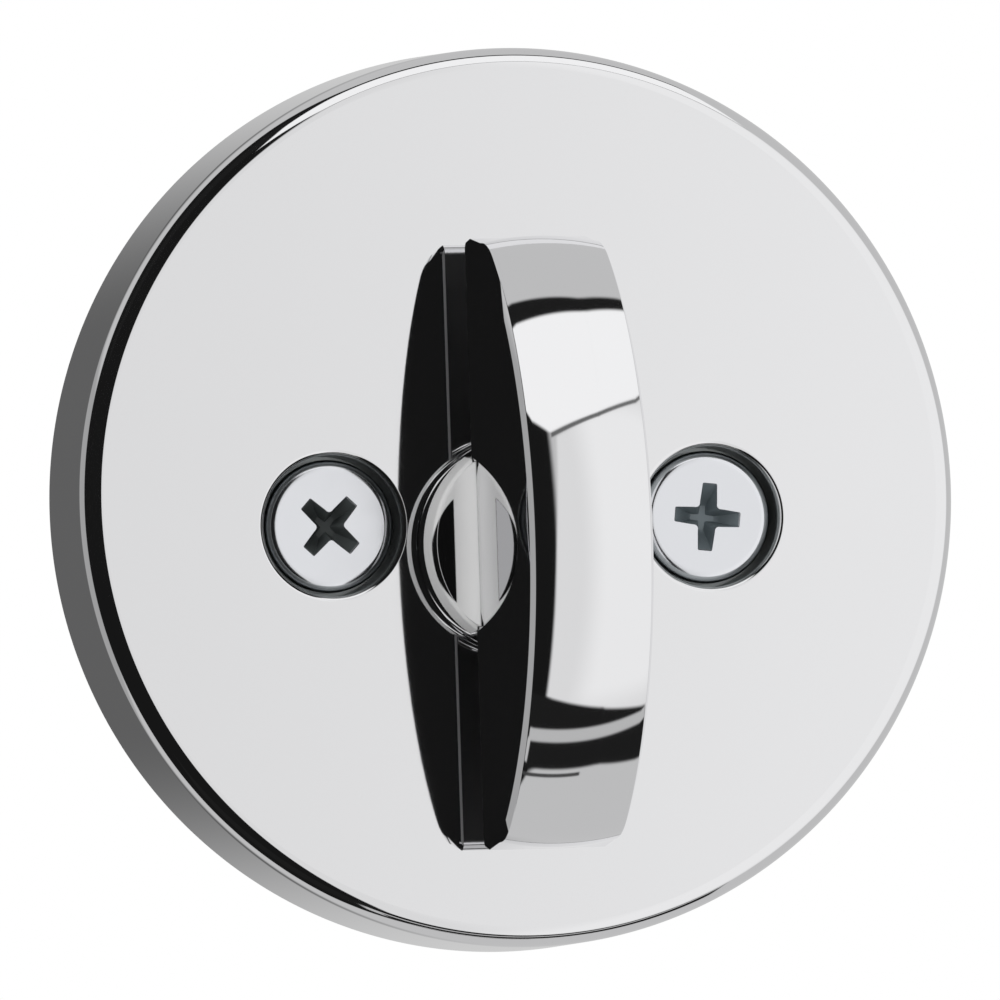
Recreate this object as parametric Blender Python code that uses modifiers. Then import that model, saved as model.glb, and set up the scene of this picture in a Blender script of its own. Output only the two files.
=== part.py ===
"""Inside trim of a deadbolt lock: a round cast rose with a half-moon thumb turn.

The trim stands on a door face. Lengths are in metres. The world origin is the point where the
spindle axis meets the door face. X runs to the right, Z runs up, and the front looks along -Y.

Every piece is modelled in a flat frame of its own: x to the right, y up, and z out of the door.
That frame is turned to stand upright when the piece is placed, so a height below is a distance
out from the door face, and a negative height lies inside the door.
"""

import math

import bmesh
import bpy
from mathutils import Matrix

# Clearances and overruns
FIT = 0.0003
OVERRUN = 0.0010
WELD = 0.000001

# Rose
ROSE_RADIUS = 0.0333
ROSE_DEPTH = 0.0105
ROSE_RISE = 0.00355
ROSE_DRAFT = 0.00015
ROSE_SHOULDER = 0.0015
ROSE_WALL = 0.0016
ROSE_FACE_WALL = 0.0020
ROSE_REAR_CHAMFER = 0.0003
ROSE_INNER_FILLET = 0.0010
ROSE_RIB_WALL = 0.0012
ROSE_RIB_DEPTH = 0.0032
HUB_BOSS_RADIUS = 0.0090
HUB_BOSS_DEPTH = 0.0015

# Screw pockets in the rose
SCREW_SPREAD = 0.01435
SCREW_RISE = 0.00175
POCKET_EDGE = 0.0004
POCKET_WALL = 0.0012
POCKET_FLOOR = 0.0018
SPACER_WALL = 0.0014

# Mounting screws
SCREW_HEAD_RADIUS = 0.0049
SCREW_HEAD_EDGE = 0.0008
SCREW_HEAD_DEPTH = 0.0023
SCREW_HEAD_SUNK = 0.0009
SCREW_SHANK_RADIUS = 0.0024
SCREW_LENGTH = 0.0540
SCREW_TIP = 0.0016
SCREW_TIP_RADIUS = 0.0012
RECESS_SPAN = 0.0050
RECESS_ROOT_SPAN = 0.0022
RECESS_WING = 0.0011
RECESS_WING_ROOT = 0.0013
RECESS_FILLET = 0.0004
RECESS_DEPTH = 0.0017
LEFT_RECESS_TURN = math.radians(47)
RIGHT_RECESS_TURN = math.radians(-6.5)

# Thumb turn grip
GRIP_REACH = 0.0209
GRIP_LENGTH = 0.0449
GRIP_WIDTH = 0.0093
GRIP_GAP = 0.0034
GRIP_END_RADIUS = 0.0060
GRIP_END_RISE = 0.0072
GRIP_BACK_CORNER = 0.0008
GRIP_BACK_EDGE = 0.0003
GRIP_CROWN = 0.0210
GRIP_CHAMFER_WIDTH = 0.0003
GRIP_CHAMFER_DEPTH = 0.00056
GRIP_ROOT = 0.0006

# Thumb turn collar and stem
COLLAR_RADIUS = 0.0079
COLLAR_HEIGHT = 0.0042
COLLAR_EDGE = 0.0005
COLLAR_FILLET = 0.0015
COLLAR_FILLET_INSET = 0.0002
COLLAR_ROOT_FILLET = 0.0008
JOURNAL_RADIUS = 0.0056
STEM_SQUARE = 0.0090
STEM_SQUARE_CORNER_RADIUS = 0.0054
STEM_TAIL = 0.0073
STEM_TIP_CHAMFER = 0.0005

# Hub bushing
BUSHING_WALL = 0.0008
BUSHING_FLANGE_RADIUS = 0.00775

# Backing plate and the small screws that hold it
PLATE_THICKNESS = 0.0015
PLATE_SETBACK = 0.0003
PLATE_WINDOW_RIM = 0.0074
PLATE_WINDOW_WEB = 0.0040
PLATE_WINDOW_TURNS = (math.radians(45), math.radians(135), math.radians(270))
PLATE_WINDOW_SPREAD = math.radians(20)
PLATE_SCREW_INSET = 0.0052
PLATE_SCREW_RADIUS = 0.00125
PLATE_SCREW_HEAD_RADIUS = 0.0023
PLATE_SCREW_LENGTH = 0.0060
PLATE_SCREW_SLOT = 0.0006
PLATE_SCREW_SLOT_DEPTH = 0.0005
PLATE_BOSS_RADIUS = 0.0030
PLATE_SCREW_TURNS = {"top": math.radians(90), "left": math.radians(215), "right": math.radians(325)}

# Detent
CAM_RADIUS = 0.0090
NOTCH_RADIUS = 0.0014
NOTCH_DEPTH = 0.0006
SPRING_THICKNESS = 0.0005
SPRING_MARGIN = 0.0004
SPRING_BUMP = 0.0011
SPRING_BUMP_LENGTH = 0.0044
EYE_START = math.radians(-20)
EYE_END = math.radians(270)
POST_SPREAD = 0.0088
POST_RADIUS = 0.0012
POST_CAP_RADIUS = 0.0019
POST_CAP = 0.0005
POST_TAIL_RADIUS = 0.0008
POST_RIVET_RADIUS = 0.0014
POST_RIVET = 0.0005

# Washers and clip behind the plate
THRUST_RADIUS = 0.0078
THRUST_THICKNESS = 0.0008
WAVE_RADIUS = 0.0072
WAVE_THICKNESS = 0.0003
WAVE_RISE = 0.0006
WAVE_COUNT = 3
RING_RADIUS = 0.0068
RING_THICKNESS = 0.0008
RING_GROOVE_DEPTH = 0.0006
RING_RELIEF = 0.0011
RING_PRONG_TURNS = (math.radians(-38), math.radians(-18))
RING_RELIEF_TURNS = (math.radians(-10), math.radians(68))
RING_TOP_PRONG_TURNS = (math.radians(76), math.radians(104))

# Torque blade and its pin
BLADE_WIDTH = 0.0050
BLADE_THICKNESS = 0.0020
BLADE_REACH = 0.0500
BLADE_SEAT = 0.0077
BLADE_TIP = 0.0010
BLADE_SCORE_PITCH = 0.0065
BLADE_SCORE_DEPTH = 0.0004
BLADE_SCORES = 5
PIN_RADIUS = 0.0010
PIN_WALL = 0.0004
PIN_SLIT = 0.0005
PIN_SETBACK = 0.0020

# Screw keepers
KEEPER_RADIUS = 0.0046
KEEPER_THICKNESS = 0.0012
KEEPER_EDGE = 0.0003

# Facet counts
ROUND_STEPS = 72
SMALL_STEPS = 36
HIDDEN_STEPS = 24
PIN_STEPS = 12
ARC_STEPS = 30
CROWN_STEPS = 6
CORNER_STEPS = 4

# Heights worked out from the sizes above
ROSE_CEILING = ROSE_DEPTH - ROSE_FACE_WALL
PLATE_REAR = PLATE_SETBACK
PLATE_FRONT = PLATE_REAR + PLATE_THICKNESS
HEAD_TOP = ROSE_DEPTH - SCREW_HEAD_SUNK
HEAD_BOTTOM = HEAD_TOP - SCREW_HEAD_DEPTH
POCKET_SEAT = HEAD_BOTTOM - FIT
POCKET_BOTTOM = POCKET_SEAT - POCKET_FLOOR
COLLAR_BOTTOM = ROSE_DEPTH + FIT
COLLAR_TOP = ROSE_DEPTH + COLLAR_HEIGHT
GRIP_BACK = ROSE_DEPTH + GRIP_GAP
GRIP_TOP = ROSE_DEPTH + GRIP_REACH
HUB_BOSS_BOTTOM = ROSE_CEILING - HUB_BOSS_DEPTH
FLANGE_TOP = HUB_BOSS_BOTTOM - FIT
SQUARE_TOP = POCKET_BOTTOM
SQUARE_BOTTOM = PLATE_FRONT + FIT
CAM_BOTTOM = PLATE_FRONT + FIT
CAM_TOP = SQUARE_TOP - FIT
FLANGE_BOTTOM = CAM_TOP + FIT
REAR_SEAT = PLATE_REAR - FIT
THRUST_BOTTOM = REAR_SEAT - THRUST_THICKNESS
WAVE_TOP = THRUST_BOTTOM - FIT
WAVE_BOTTOM = WAVE_TOP - WAVE_RISE - WAVE_THICKNESS
RING_TOP = WAVE_BOTTOM - FIT
RING_BOTTOM = RING_TOP - RING_THICKNESS
STEM_BOTTOM = -STEM_TAIL
PIN_HEIGHT = STEM_BOTTOM + PIN_SETBACK
SPRING_BOTTOM = CAM_BOTTOM + SPRING_MARGIN
SPRING_TOP = CAM_TOP - SPRING_MARGIN

# Radii and places worked out from the sizes above
TAIL_RADIUS = STEM_SQUARE / 2
GROOVE_RADIUS = TAIL_RADIUS - RING_GROOVE_DEPTH
BUSHING_BORE = JOURNAL_RADIUS + FIT
BUSHING_RADIUS = BUSHING_BORE + BUSHING_WALL
HUB_BORE = BUSHING_RADIUS + FIT
POCKET_RADIUS = SCREW_HEAD_RADIUS + FIT
SHANK_HOLE = SCREW_SHANK_RADIUS + FIT
SPACER_RADIUS = SHANK_HOLE + SPACER_WALL
ROSE_INNER_RADIUS = ROSE_RADIUS - ROSE_WALL
PLATE_RADIUS = ROSE_INNER_RADIUS - FIT
PLATE_SCREW_CIRCLE = ROSE_INNER_RADIUS - PLATE_SCREW_INSET
SPRING_LINE = CAM_RADIUS + FIT + SPRING_BUMP + SPRING_THICKNESS / 2
EYE_RADIUS = POST_RADIUS + FIT + SPRING_THICKNESS / 2
POST_RISE = SPRING_LINE + EYE_RADIUS
NAME = "deadbolt_thumb_turn_trim"


def clear_scene():
    """Remove whatever the file opened with."""
    for item in list(bpy.data.objects):
        bpy.data.objects.remove(item, do_unlink=True)


def new_collection(name):
    """Add a collection to the scene and return it."""
    group = bpy.data.collections.new(name)
    bpy.context.scene.collection.children.link(group)
    return group


def new_material(name, colour, metallic, roughness):
    """Make a plain surface finish."""
    finish = bpy.data.materials.new(name)
    finish.use_nodes = True
    shader = finish.node_tree.nodes["Principled BSDF"]
    shader.inputs["Base Color"].default_value = (*colour, 1.0)
    shader.inputs["Metallic"].default_value = metallic
    shader.inputs["Roughness"].default_value = roughness
    finish.diffuse_color = (*colour, 1.0)
    return finish


def shade_round(mesh):
    """Shade the curved faces smooth and keep the real edges crisp."""
    mesh.shade_smooth()
    mesh.set_sharp_from_angle(angle=math.radians(28))


def arc(cx, cy, radius, start, end, steps):
    """Points on an arc between two angles in radians, both ends included."""
    points = []
    for step in range(steps + 1):
        angle = start + (end - start) * step / steps
        points.append((cx + radius * math.cos(angle), cy + radius * math.sin(angle)))
    return points


def object_from_mesh(name, mesh, group):
    """Wrap a mesh in an object and put it in a collection."""
    item = bpy.data.objects.new(name, mesh)
    group.objects.link(item)
    return item


def turned(name, profile, group, steps=SMALL_STEPS, closed=False):
    """Turn a profile of (radius, height) points about the local z axis.

    The profile runs down the outer side. A closed one ends where it starts, as a ring's does.
    """
    mesh = bpy.data.meshes.new(name)
    edges = [(index, index + 1) for index in range(len(profile) - 1)]
    if closed:
        edges.append((len(profile) - 1, 0))
    mesh.from_pydata([(radius, 0, height) for radius, height in profile], edges, [])
    item = object_from_mesh(name, mesh, group)
    screw = item.modifiers.new("Turn", "SCREW")
    screw.axis = "Z"
    screw.angle = math.tau
    screw.steps = steps
    screw.render_steps = steps
    screw.use_merge_vertices = True
    screw.merge_threshold = WELD
    return item


def outline_mesh(name, outlines, thickness):
    """Fill a flat outline, with any holes in it, and give it a thickness about its own plane."""
    curve = bpy.data.curves.new(name, "CURVE")
    curve.dimensions = "2D"
    curve.fill_mode = "BOTH"
    curve.extrude = thickness / 2
    for points in outlines:
        spline = curve.splines.new("POLY")
        spline.points.add(len(points) - 1)
        for point, (x, y) in zip(spline.points, points):
            point.co = (x, y, 0, 1)
        spline.use_cyclic_u = True
    guide = bpy.data.objects.new(name + "_outline", curve)
    bpy.context.scene.collection.objects.link(guide)
    bpy.context.view_layer.update()
    mesh = bpy.data.meshes.new_from_object(guide.evaluated_get(bpy.context.evaluated_depsgraph_get()))
    bpy.data.objects.remove(guide, do_unlink=True)
    bpy.data.curves.remove(curve)
    shape = bmesh.new()
    shape.from_mesh(mesh)
    bmesh.ops.remove_doubles(shape, verts=shape.verts, dist=WELD)
    bmesh.ops.dissolve_limit(
        shape, angle_limit=math.radians(0.5), verts=shape.verts, edges=shape.edges, delimit={"NORMAL"}
    )
    bmesh.ops.recalc_face_normals(shape, faces=shape.faces)
    shape.to_mesh(mesh)
    shape.free()
    mesh.name = name
    return mesh


def flat(name, outlines, bottom, top, group):
    """Make a flat piece from its outline between two heights."""
    mesh = outline_mesh(name, outlines, top - bottom)
    mesh.transform(Matrix.Translation((0, 0, (bottom + top) / 2)))
    return object_from_mesh(name, mesh, group)


def sideways(name, outline, width, group):
    """Make a piece from an outline of (up, height) points, with its width across x."""
    mesh = outline_mesh(name, [outline], width)
    mesh.transform(Matrix(((0, 0, 1, 0), (1, 0, 0, 0), (0, 1, 0, 0), (0, 0, 0, 1))))
    return object_from_mesh(name, mesh, group)


def upright(name, outline, length, group):
    """Make a piece from an outline of (x, height) points, with its length along y."""
    mesh = outline_mesh(name, [outline], length)
    mesh.transform(Matrix(((1, 0, 0, 0), (0, 0, -1, 0), (0, 1, 0, 0), (0, 0, 0, 1))))
    return object_from_mesh(name, mesh, group)


def lofted(name, rings, group):
    """Make a solid by bridging a row of closed outlines, which have equal numbers of points."""
    mesh = bpy.data.meshes.new(name)
    shape = bmesh.new()
    loops = []
    for ring in rings:
        points = [shape.verts.new(point) for point in ring]
        loops.append([shape.edges.new(pair) for pair in zip(points, points[1:] + points[:1])])
    for before, after in zip(loops, loops[1:]):
        bmesh.ops.bridge_loops(shape, edges=before + after)
    bmesh.ops.holes_fill(shape, edges=loops[0] + loops[-1])
    bmesh.ops.recalc_face_normals(shape, faces=shape.faces)
    shape.to_mesh(mesh)
    shape.free()
    return object_from_mesh(name, mesh, group)


def rod(name, radius, bottom, top, group, steps=SMALL_STEPS):
    """Make a plain round bar along the local z axis."""
    mesh = bpy.data.meshes.new(name)
    shape = bmesh.new()
    bmesh.ops.create_cone(
        shape, cap_ends=True, segments=steps, radius1=radius, radius2=radius, depth=top - bottom
    )
    shape.to_mesh(mesh)
    shape.free()
    mesh.transform(Matrix.Translation((0, 0, (bottom + top) / 2)))
    return object_from_mesh(name, mesh, group)


def block(name, size, centre, group):
    """Make a plain box."""
    mesh = bpy.data.meshes.new(name)
    shape = bmesh.new()
    bmesh.ops.create_cube(shape, size=1, matrix=Matrix.Translation(centre) @ Matrix.Diagonal((*size, 1)))
    shape.to_mesh(mesh)
    shape.free()
    return object_from_mesh(name, mesh, group)


def combine(item, tool, operation):
    """Join, cut or trim a piece with a hidden tool body."""
    tool.hide_render = True
    tool.display_type = "WIRE"
    step = item.modifiers.new(tool.name, "BOOLEAN")
    step.operation = operation
    step.solver = "EXACT"
    step.object = tool


def settle(item):
    """Fix a piece's modelling steps into its mesh, merge its flat faces and shade it."""
    bpy.context.view_layer.update()
    depsgraph = bpy.context.evaluated_depsgraph_get()
    mesh = bpy.data.meshes.new_from_object(item.evaluated_get(depsgraph))
    item.modifiers.clear()
    item.data = mesh
    shape = bmesh.new()
    shape.from_mesh(mesh)
    bmesh.ops.remove_doubles(shape, verts=shape.verts, dist=WELD)
    shape.to_mesh(mesh)
    shape.free()
    shade_round(mesh)


def carrier(name, group):
    """Add an empty on the spindle axis whose flat frame stands upright on the door face."""
    empty = bpy.data.objects.new(name, None)
    empty.empty_display_size = ROSE_DEPTH
    empty.rotation_euler = (math.pi / 2, 0, 0)
    group.objects.link(empty)
    return empty


def screw_places():
    """The two mounting screws' names, places and recess angles."""
    return (
        ("left", -SCREW_SPREAD, LEFT_RECESS_TURN),
        ("right", SCREW_SPREAD, RIGHT_RECESS_TURN),
    )


def plate_screw_places():
    """The small screws' names and places, on a circle about the rose's centre."""
    places = []
    for side, turn in PLATE_SCREW_TURNS.items():
        x = PLATE_SCREW_CIRCLE * math.cos(turn)
        y = ROSE_RISE + PLATE_SCREW_CIRCLE * math.sin(turn)
        places.append((side, x, y))
    return places


def post_places():
    """The spring posts' places, two above the spindle and two below it."""
    return [(x * POST_SPREAD, y * POST_RISE) for y in (1, -1) for x in (-1, 1)]


def wall_distance(turn, radius):
    """Distance from the spindle axis, at an angle, to a circle about the rose's centre."""
    across = ROSE_RISE * math.cos(turn)
    return ROSE_RISE * math.sin(turn) + math.sqrt(radius * radius - across * across)


def build_rose(group, tools):
    """Turn the cast cover, add its bosses and ribs, then open its pockets and bores."""
    wall_top = ROSE_RADIUS - ROSE_DRAFT
    shoulder = wall_top - ROSE_SHOULDER
    inner = ROSE_INNER_RADIUS
    profile = [(0, ROSE_DEPTH)]
    profile += arc(shoulder, ROSE_DEPTH - ROSE_SHOULDER, ROSE_SHOULDER, math.pi / 2, 0, CORNER_STEPS + 2)
    profile += [
        (ROSE_RADIUS, ROSE_REAR_CHAMFER),
        (ROSE_RADIUS - ROSE_REAR_CHAMFER, 0),
        (inner, 0),
    ]
    fillet = ROSE_INNER_FILLET
    profile += arc(inner - fillet, ROSE_CEILING - fillet, fillet, 0, math.pi / 2, CORNER_STEPS - 2)
    profile.append((0, ROSE_CEILING))
    rose = turned("rose", profile, group, ROUND_STEPS)
    rose.location = (0, ROSE_RISE, 0)

    boss = rod("hub_boss", HUB_BOSS_RADIUS, HUB_BOSS_BOTTOM, ROSE_CEILING + OVERRUN, tools,
               HIDDEN_STEPS)
    combine(rose, boss, "UNION")
    for side, x, turn in screw_places():
        tube = rod(f"pocket_tube_{side}", POCKET_RADIUS + POCKET_WALL, POCKET_BOTTOM,
                   ROSE_CEILING + OVERRUN, tools, HIDDEN_STEPS)
        tube.location = (x, SCREW_RISE, 0)
        combine(rose, tube, "UNION")
        spacer = rod(f"spacer_{side}", SPACER_RADIUS, PLATE_FRONT + FIT, POCKET_SEAT - OVERRUN, tools,
                     HIDDEN_STEPS)
        spacer.location = (x, SCREW_RISE, 0)
        combine(rose, spacer, "UNION")
    for side, x, y in plate_screw_places():
        stub = rod(f"plate_boss_{side}", PLATE_BOSS_RADIUS, PLATE_FRONT + FIT, ROSE_CEILING + OVERRUN,
                   tools, PIN_STEPS)
        stub.location = (x, y, 0)
        combine(rose, stub, "UNION")
        turn = math.atan2(y, x)
        start = HUB_BORE + OVERRUN
        end = wall_distance(turn, ROSE_INNER_RADIUS + ROSE_WALL / 2)
        rib = block(
            f"rib_{side}",
            (end - start, ROSE_RIB_WALL, ROSE_RIB_DEPTH + OVERRUN),
            ((start + end) / 2, 0, ROSE_CEILING + (OVERRUN - ROSE_RIB_DEPTH) / 2),
            tools,
        )
        rib.rotation_euler = (0, 0, turn)
        combine(rose, rib, "UNION")

    bore = rod("hub_bore", HUB_BORE, HUB_BOSS_BOTTOM - OVERRUN, ROSE_DEPTH + OVERRUN, tools, SMALL_STEPS)
    combine(rose, bore, "DIFFERENCE")
    for side, x, turn in screw_places():
        rim = arc(POCKET_RADIUS + POCKET_EDGE, ROSE_DEPTH - POCKET_EDGE, POCKET_EDGE,
                  math.pi / 2, math.pi, CORNER_STEPS)
        pocket = turned(
            f"pocket_{side}",
            [(0, ROSE_DEPTH + OVERRUN), (POCKET_RADIUS + POCKET_EDGE, ROSE_DEPTH + OVERRUN)]
            + rim
            + [(POCKET_RADIUS, POCKET_SEAT), (SHANK_HOLE, POCKET_SEAT),
               (SHANK_HOLE, PLATE_FRONT - OVERRUN), (0, PLATE_FRONT - OVERRUN)],
            tools,
        )
        pocket.location = (x, SCREW_RISE, 0)
        combine(rose, pocket, "DIFFERENCE")
    for side, x, y in plate_screw_places():
        pilot = rod(f"pilot_{side}", PLATE_SCREW_RADIUS + FIT, PLATE_FRONT - OVERRUN,
                    PLATE_REAR + PLATE_SCREW_LENGTH + FIT, tools, PIN_STEPS)
        pilot.location = (x, y, 0)
        combine(rose, pilot, "DIFFERENCE")
    return rose


def grip_outline(inset, back_inset):
    """The half-moon's side view as (up, height) points, from the axis' right end round the front.

    A wide arc makes the front. A smaller arc, tangent to it, turns down into each flat end, and
    the straight back edge runs above the rose. The front and the ends are drawn in by one amount
    and the back by another.
    """
    end = GRIP_LENGTH / 2
    blend_up = end - GRIP_END_RADIUS
    blend_height = ROSE_DEPTH + GRIP_END_RISE
    drop = GRIP_TOP - blend_height
    radius = (blend_up ** 2 + drop ** 2 - GRIP_END_RADIUS ** 2) / 2 / (drop - GRIP_END_RADIUS)
    centre = GRIP_TOP - radius
    meet = math.atan2(blend_height - centre, blend_up)
    corner = GRIP_BACK_CORNER
    half = arc(end - corner, GRIP_BACK + corner, corner - back_inset, -math.pi / 2, 0, CORNER_STEPS)
    half += arc(blend_up, blend_height, GRIP_END_RADIUS - inset, 0, meet, CORNER_STEPS + 3)
    front = arc(0, centre, radius - inset, meet, math.pi - meet, ARC_STEPS)
    return half + front[1:-1] + [(-up, height) for up, height in reversed(half)]


def grip_section():
    """The rim's section across the grip as (x, depth below the crest, depth into the back) rows.

    The crest is a wide arc, and a narrow bevel takes it down to each flat side.
    """
    side = GRIP_WIDTH / 2
    lean = math.asin((side - GRIP_CHAMFER_WIDTH) / GRIP_CROWN)
    crest = arc(0, GRIP_CROWN, GRIP_CROWN, lean - math.pi / 2, -lean - math.pi / 2, CROWN_STEPS)
    side_depth = crest[0][1] + GRIP_CHAMFER_DEPTH
    rows = [(side, side_depth, GRIP_BACK_EDGE)]
    rows += [(x, depth, 0) for x, depth in crest]
    rows.append((-side, side_depth, GRIP_BACK_EDGE))
    return rows


def square_outline(grow):
    """The stem's square with its corners turned off, grown all round by an amount."""
    half = STEM_SQUARE / 2 + grow
    corner = STEM_SQUARE_CORNER_RADIUS + grow
    lean = math.acos(half / corner)
    points = []
    for quarter in range(4):
        turn = quarter * math.pi / 2
        points += arc(0, 0, corner, turn + lean, turn + math.pi / 2 - lean, 2)
    return points


def build_turn(group, tools):
    """Model the half-moon grip, blend it into its round collar, and add the stem."""
    rings = [
        [(x, up, height) for up, height in grip_outline(inset, back_inset)]
        for x, inset, back_inset in grip_section()
    ]
    grip = lofted("thumb_turn", rings, group)

    edge = COLLAR_EDGE
    profile = [(0, COLLAR_TOP)]
    profile += arc(COLLAR_RADIUS - edge, COLLAR_TOP - edge, edge, math.pi / 2, 0, CORNER_STEPS)
    profile += [
        (COLLAR_RADIUS, COLLAR_BOTTOM),
        (JOURNAL_RADIUS, COLLAR_BOTTOM),
        (JOURNAL_RADIUS, SQUARE_TOP),
        (TAIL_RADIUS, SQUARE_TOP),
        (TAIL_RADIUS, RING_TOP + FIT),
        (GROOVE_RADIUS, RING_TOP + FIT),
        (GROOVE_RADIUS, RING_BOTTOM - FIT),
        (TAIL_RADIUS, RING_BOTTOM - FIT),
        (TAIL_RADIUS, STEM_BOTTOM + STEM_TIP_CHAMFER),
        (TAIL_RADIUS - STEM_TIP_CHAMFER, STEM_BOTTOM),
        (0, STEM_BOTTOM),
    ]
    stem = turned("collar_and_stem", profile, tools, SMALL_STEPS)
    combine(grip, stem, "UNION")

    square = flat("stem_square", [square_outline(0)], SQUARE_BOTTOM, SQUARE_TOP + OVERRUN, tools)
    combine(grip, square, "UNION")

    reach = GRIP_WIDTH / 2
    sunk = GRIP_ROOT
    for name, sign in (("left", -1), ("right", 1)):
        curve = arc(reach + COLLAR_FILLET, COLLAR_TOP + COLLAR_FILLET, COLLAR_FILLET,
                    math.pi, math.pi * 3 / 2, CORNER_STEPS + 1)
        outline = [(sign * x, height) for x, height in
                   [(reach - sunk, COLLAR_TOP + COLLAR_FILLET)] + curve
                   + [(reach + COLLAR_FILLET, COLLAR_TOP - sunk), (reach - sunk, COLLAR_TOP - sunk)]]
        web = upright(f"collar_fillet_{name}", outline, COLLAR_RADIUS * 2, tools)
        trim = rod(f"fillet_trim_{name}", COLLAR_RADIUS - edge - COLLAR_FILLET_INSET, COLLAR_TOP - edge,
                   COLLAR_TOP + COLLAR_FILLET + OVERRUN, tools)
        combine(web, trim, "INTERSECT")
        combine(grip, web, "UNION")

    root = COLLAR_ROOT_FILLET
    flare = turned(
        "collar_root",
        [(0, GRIP_BACK + sunk), (COLLAR_RADIUS + root, GRIP_BACK + sunk)]
        + arc(COLLAR_RADIUS + root, GRIP_BACK - root, root, math.pi / 2, math.pi, CORNER_STEPS)
        + [(0, GRIP_BACK - root)],
        tools,
        SMALL_STEPS,
    )
    slab = block("root_slab", (GRIP_WIDTH - 2 * sunk, GRIP_LENGTH, 2 * root + 2 * sunk),
                 (0, 0, GRIP_BACK), tools)
    combine(flare, slab, "INTERSECT")
    combine(grip, flare, "UNION")

    slot_top = BLADE_SEAT + FIT
    slot = block(
        "blade_slot",
        (BLADE_THICKNESS + 2 * FIT, BLADE_WIDTH + 2 * FIT, slot_top - STEM_BOTTOM + OVERRUN),
        (0, 0, (slot_top + STEM_BOTTOM - OVERRUN) / 2),
        tools,
    )
    combine(grip, slot, "DIFFERENCE")
    hole = rod("pin_hole", PIN_RADIUS + FIT, -TAIL_RADIUS - OVERRUN, TAIL_RADIUS + OVERRUN, tools,
               PIN_STEPS)
    hole.rotation_euler = (0, math.pi / 2, 0)
    hole.location = (0, 0, PIN_HEIGHT)
    combine(grip, hole, "DIFFERENCE")
    return grip


def cross_outline():
    """The mouth of the cross recess: four wings that widen inwards to filled corners."""
    reach = RECESS_SPAN / 2
    tip = RECESS_WING / 2
    root = RECESS_WING_ROOT / 2
    inner = root + RECESS_FILLET
    points = []
    quarter = [(reach, -tip), (reach, tip), (inner, root), (root, inner)]
    for _ in range(4):
        points += quarter
        quarter = [(-y, x) for x, y in quarter]
    return points


def build_mounting_screw(side, x, turn, group, tools):
    """Turn a mounting screw and press its cross recess."""
    edge = SCREW_HEAD_EDGE
    profile = [(0, HEAD_TOP)]
    profile += arc(SCREW_HEAD_RADIUS - edge, HEAD_TOP - edge, edge, math.pi / 2, 0, CORNER_STEPS)
    tip = HEAD_BOTTOM - SCREW_LENGTH
    profile += [
        (SCREW_HEAD_RADIUS, HEAD_BOTTOM),
        (SCREW_SHANK_RADIUS, HEAD_BOTTOM),
        (SCREW_SHANK_RADIUS, tip + SCREW_TIP),
        (SCREW_TIP_RADIUS, tip),
        (0, tip),
    ]
    screw = turned(f"screw_{side}", profile, group, HIDDEN_STEPS)
    cross = flat(f"recess_{side}", [cross_outline()], HEAD_TOP - RECESS_DEPTH, HEAD_TOP + OVERRUN, tools)
    taper = (RECESS_SPAN - RECESS_ROOT_SPAN) / RECESS_DEPTH
    for vertex in cross.data.vertices:
        scale = 1 + taper * (vertex.co.z - HEAD_TOP) / RECESS_SPAN
        vertex.co.x *= scale
        vertex.co.y *= scale
    cross.location = (x, SCREW_RISE, 0)
    cross.rotation_euler = (0, 0, turn)
    combine(screw, cross, "DIFFERENCE")
    screw.location = (x, SCREW_RISE, 0)
    return screw


def build_plate(group, tools):
    """Stamp the backing plate with its holes and two curved windows."""
    outlines = [arc(0, 0, PLATE_RADIUS, 0, math.tau, ROUND_STEPS)[:-1]]
    outlines.append(arc(0, -ROSE_RISE, TAIL_RADIUS + FIT, 0, math.tau, SMALL_STEPS)[:-1])
    for side, x, turn in screw_places():
        outlines.append(arc(x, SCREW_RISE - ROSE_RISE, SHANK_HOLE, 0, math.tau, PIN_STEPS)[:-1])
    for x, y in post_places():
        outlines.append(arc(x, y - ROSE_RISE, POST_TAIL_RADIUS + FIT, 0, math.tau, PIN_STEPS)[:-1])
    inner = math.hypot(POST_SPREAD, POST_RISE - ROSE_RISE) + PLATE_WINDOW_WEB
    outer = PLATE_RADIUS - PLATE_WINDOW_RIM
    for turn in PLATE_WINDOW_TURNS:
        spread = PLATE_WINDOW_SPREAD
        window = arc(0, 0, outer, turn - spread, turn + spread, CORNER_STEPS + 3)
        window += arc(0, 0, inner, turn + spread, turn - spread, CORNER_STEPS + 3)
        outlines.append(window)
    plate = flat("backing_plate", outlines, PLATE_REAR, PLATE_FRONT, group)
    plate.location = (0, ROSE_RISE, 0)
    for side, x, y in plate_screw_places():
        shank = PLATE_SCREW_RADIUS + FIT
        head = PLATE_SCREW_HEAD_RADIUS + FIT
        sink = turned(
            f"countersink_{side}",
            [(0, PLATE_FRONT + OVERRUN), (shank, PLATE_FRONT + OVERRUN),
             (shank, PLATE_REAR + head - shank), (head, PLATE_REAR), (head, PLATE_REAR - OVERRUN),
             (0, PLATE_REAR - OVERRUN)],
            tools,
            PIN_STEPS,
        )
        sink.location = (x, y, 0)
        combine(plate, sink, "DIFFERENCE")
    return plate


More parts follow.
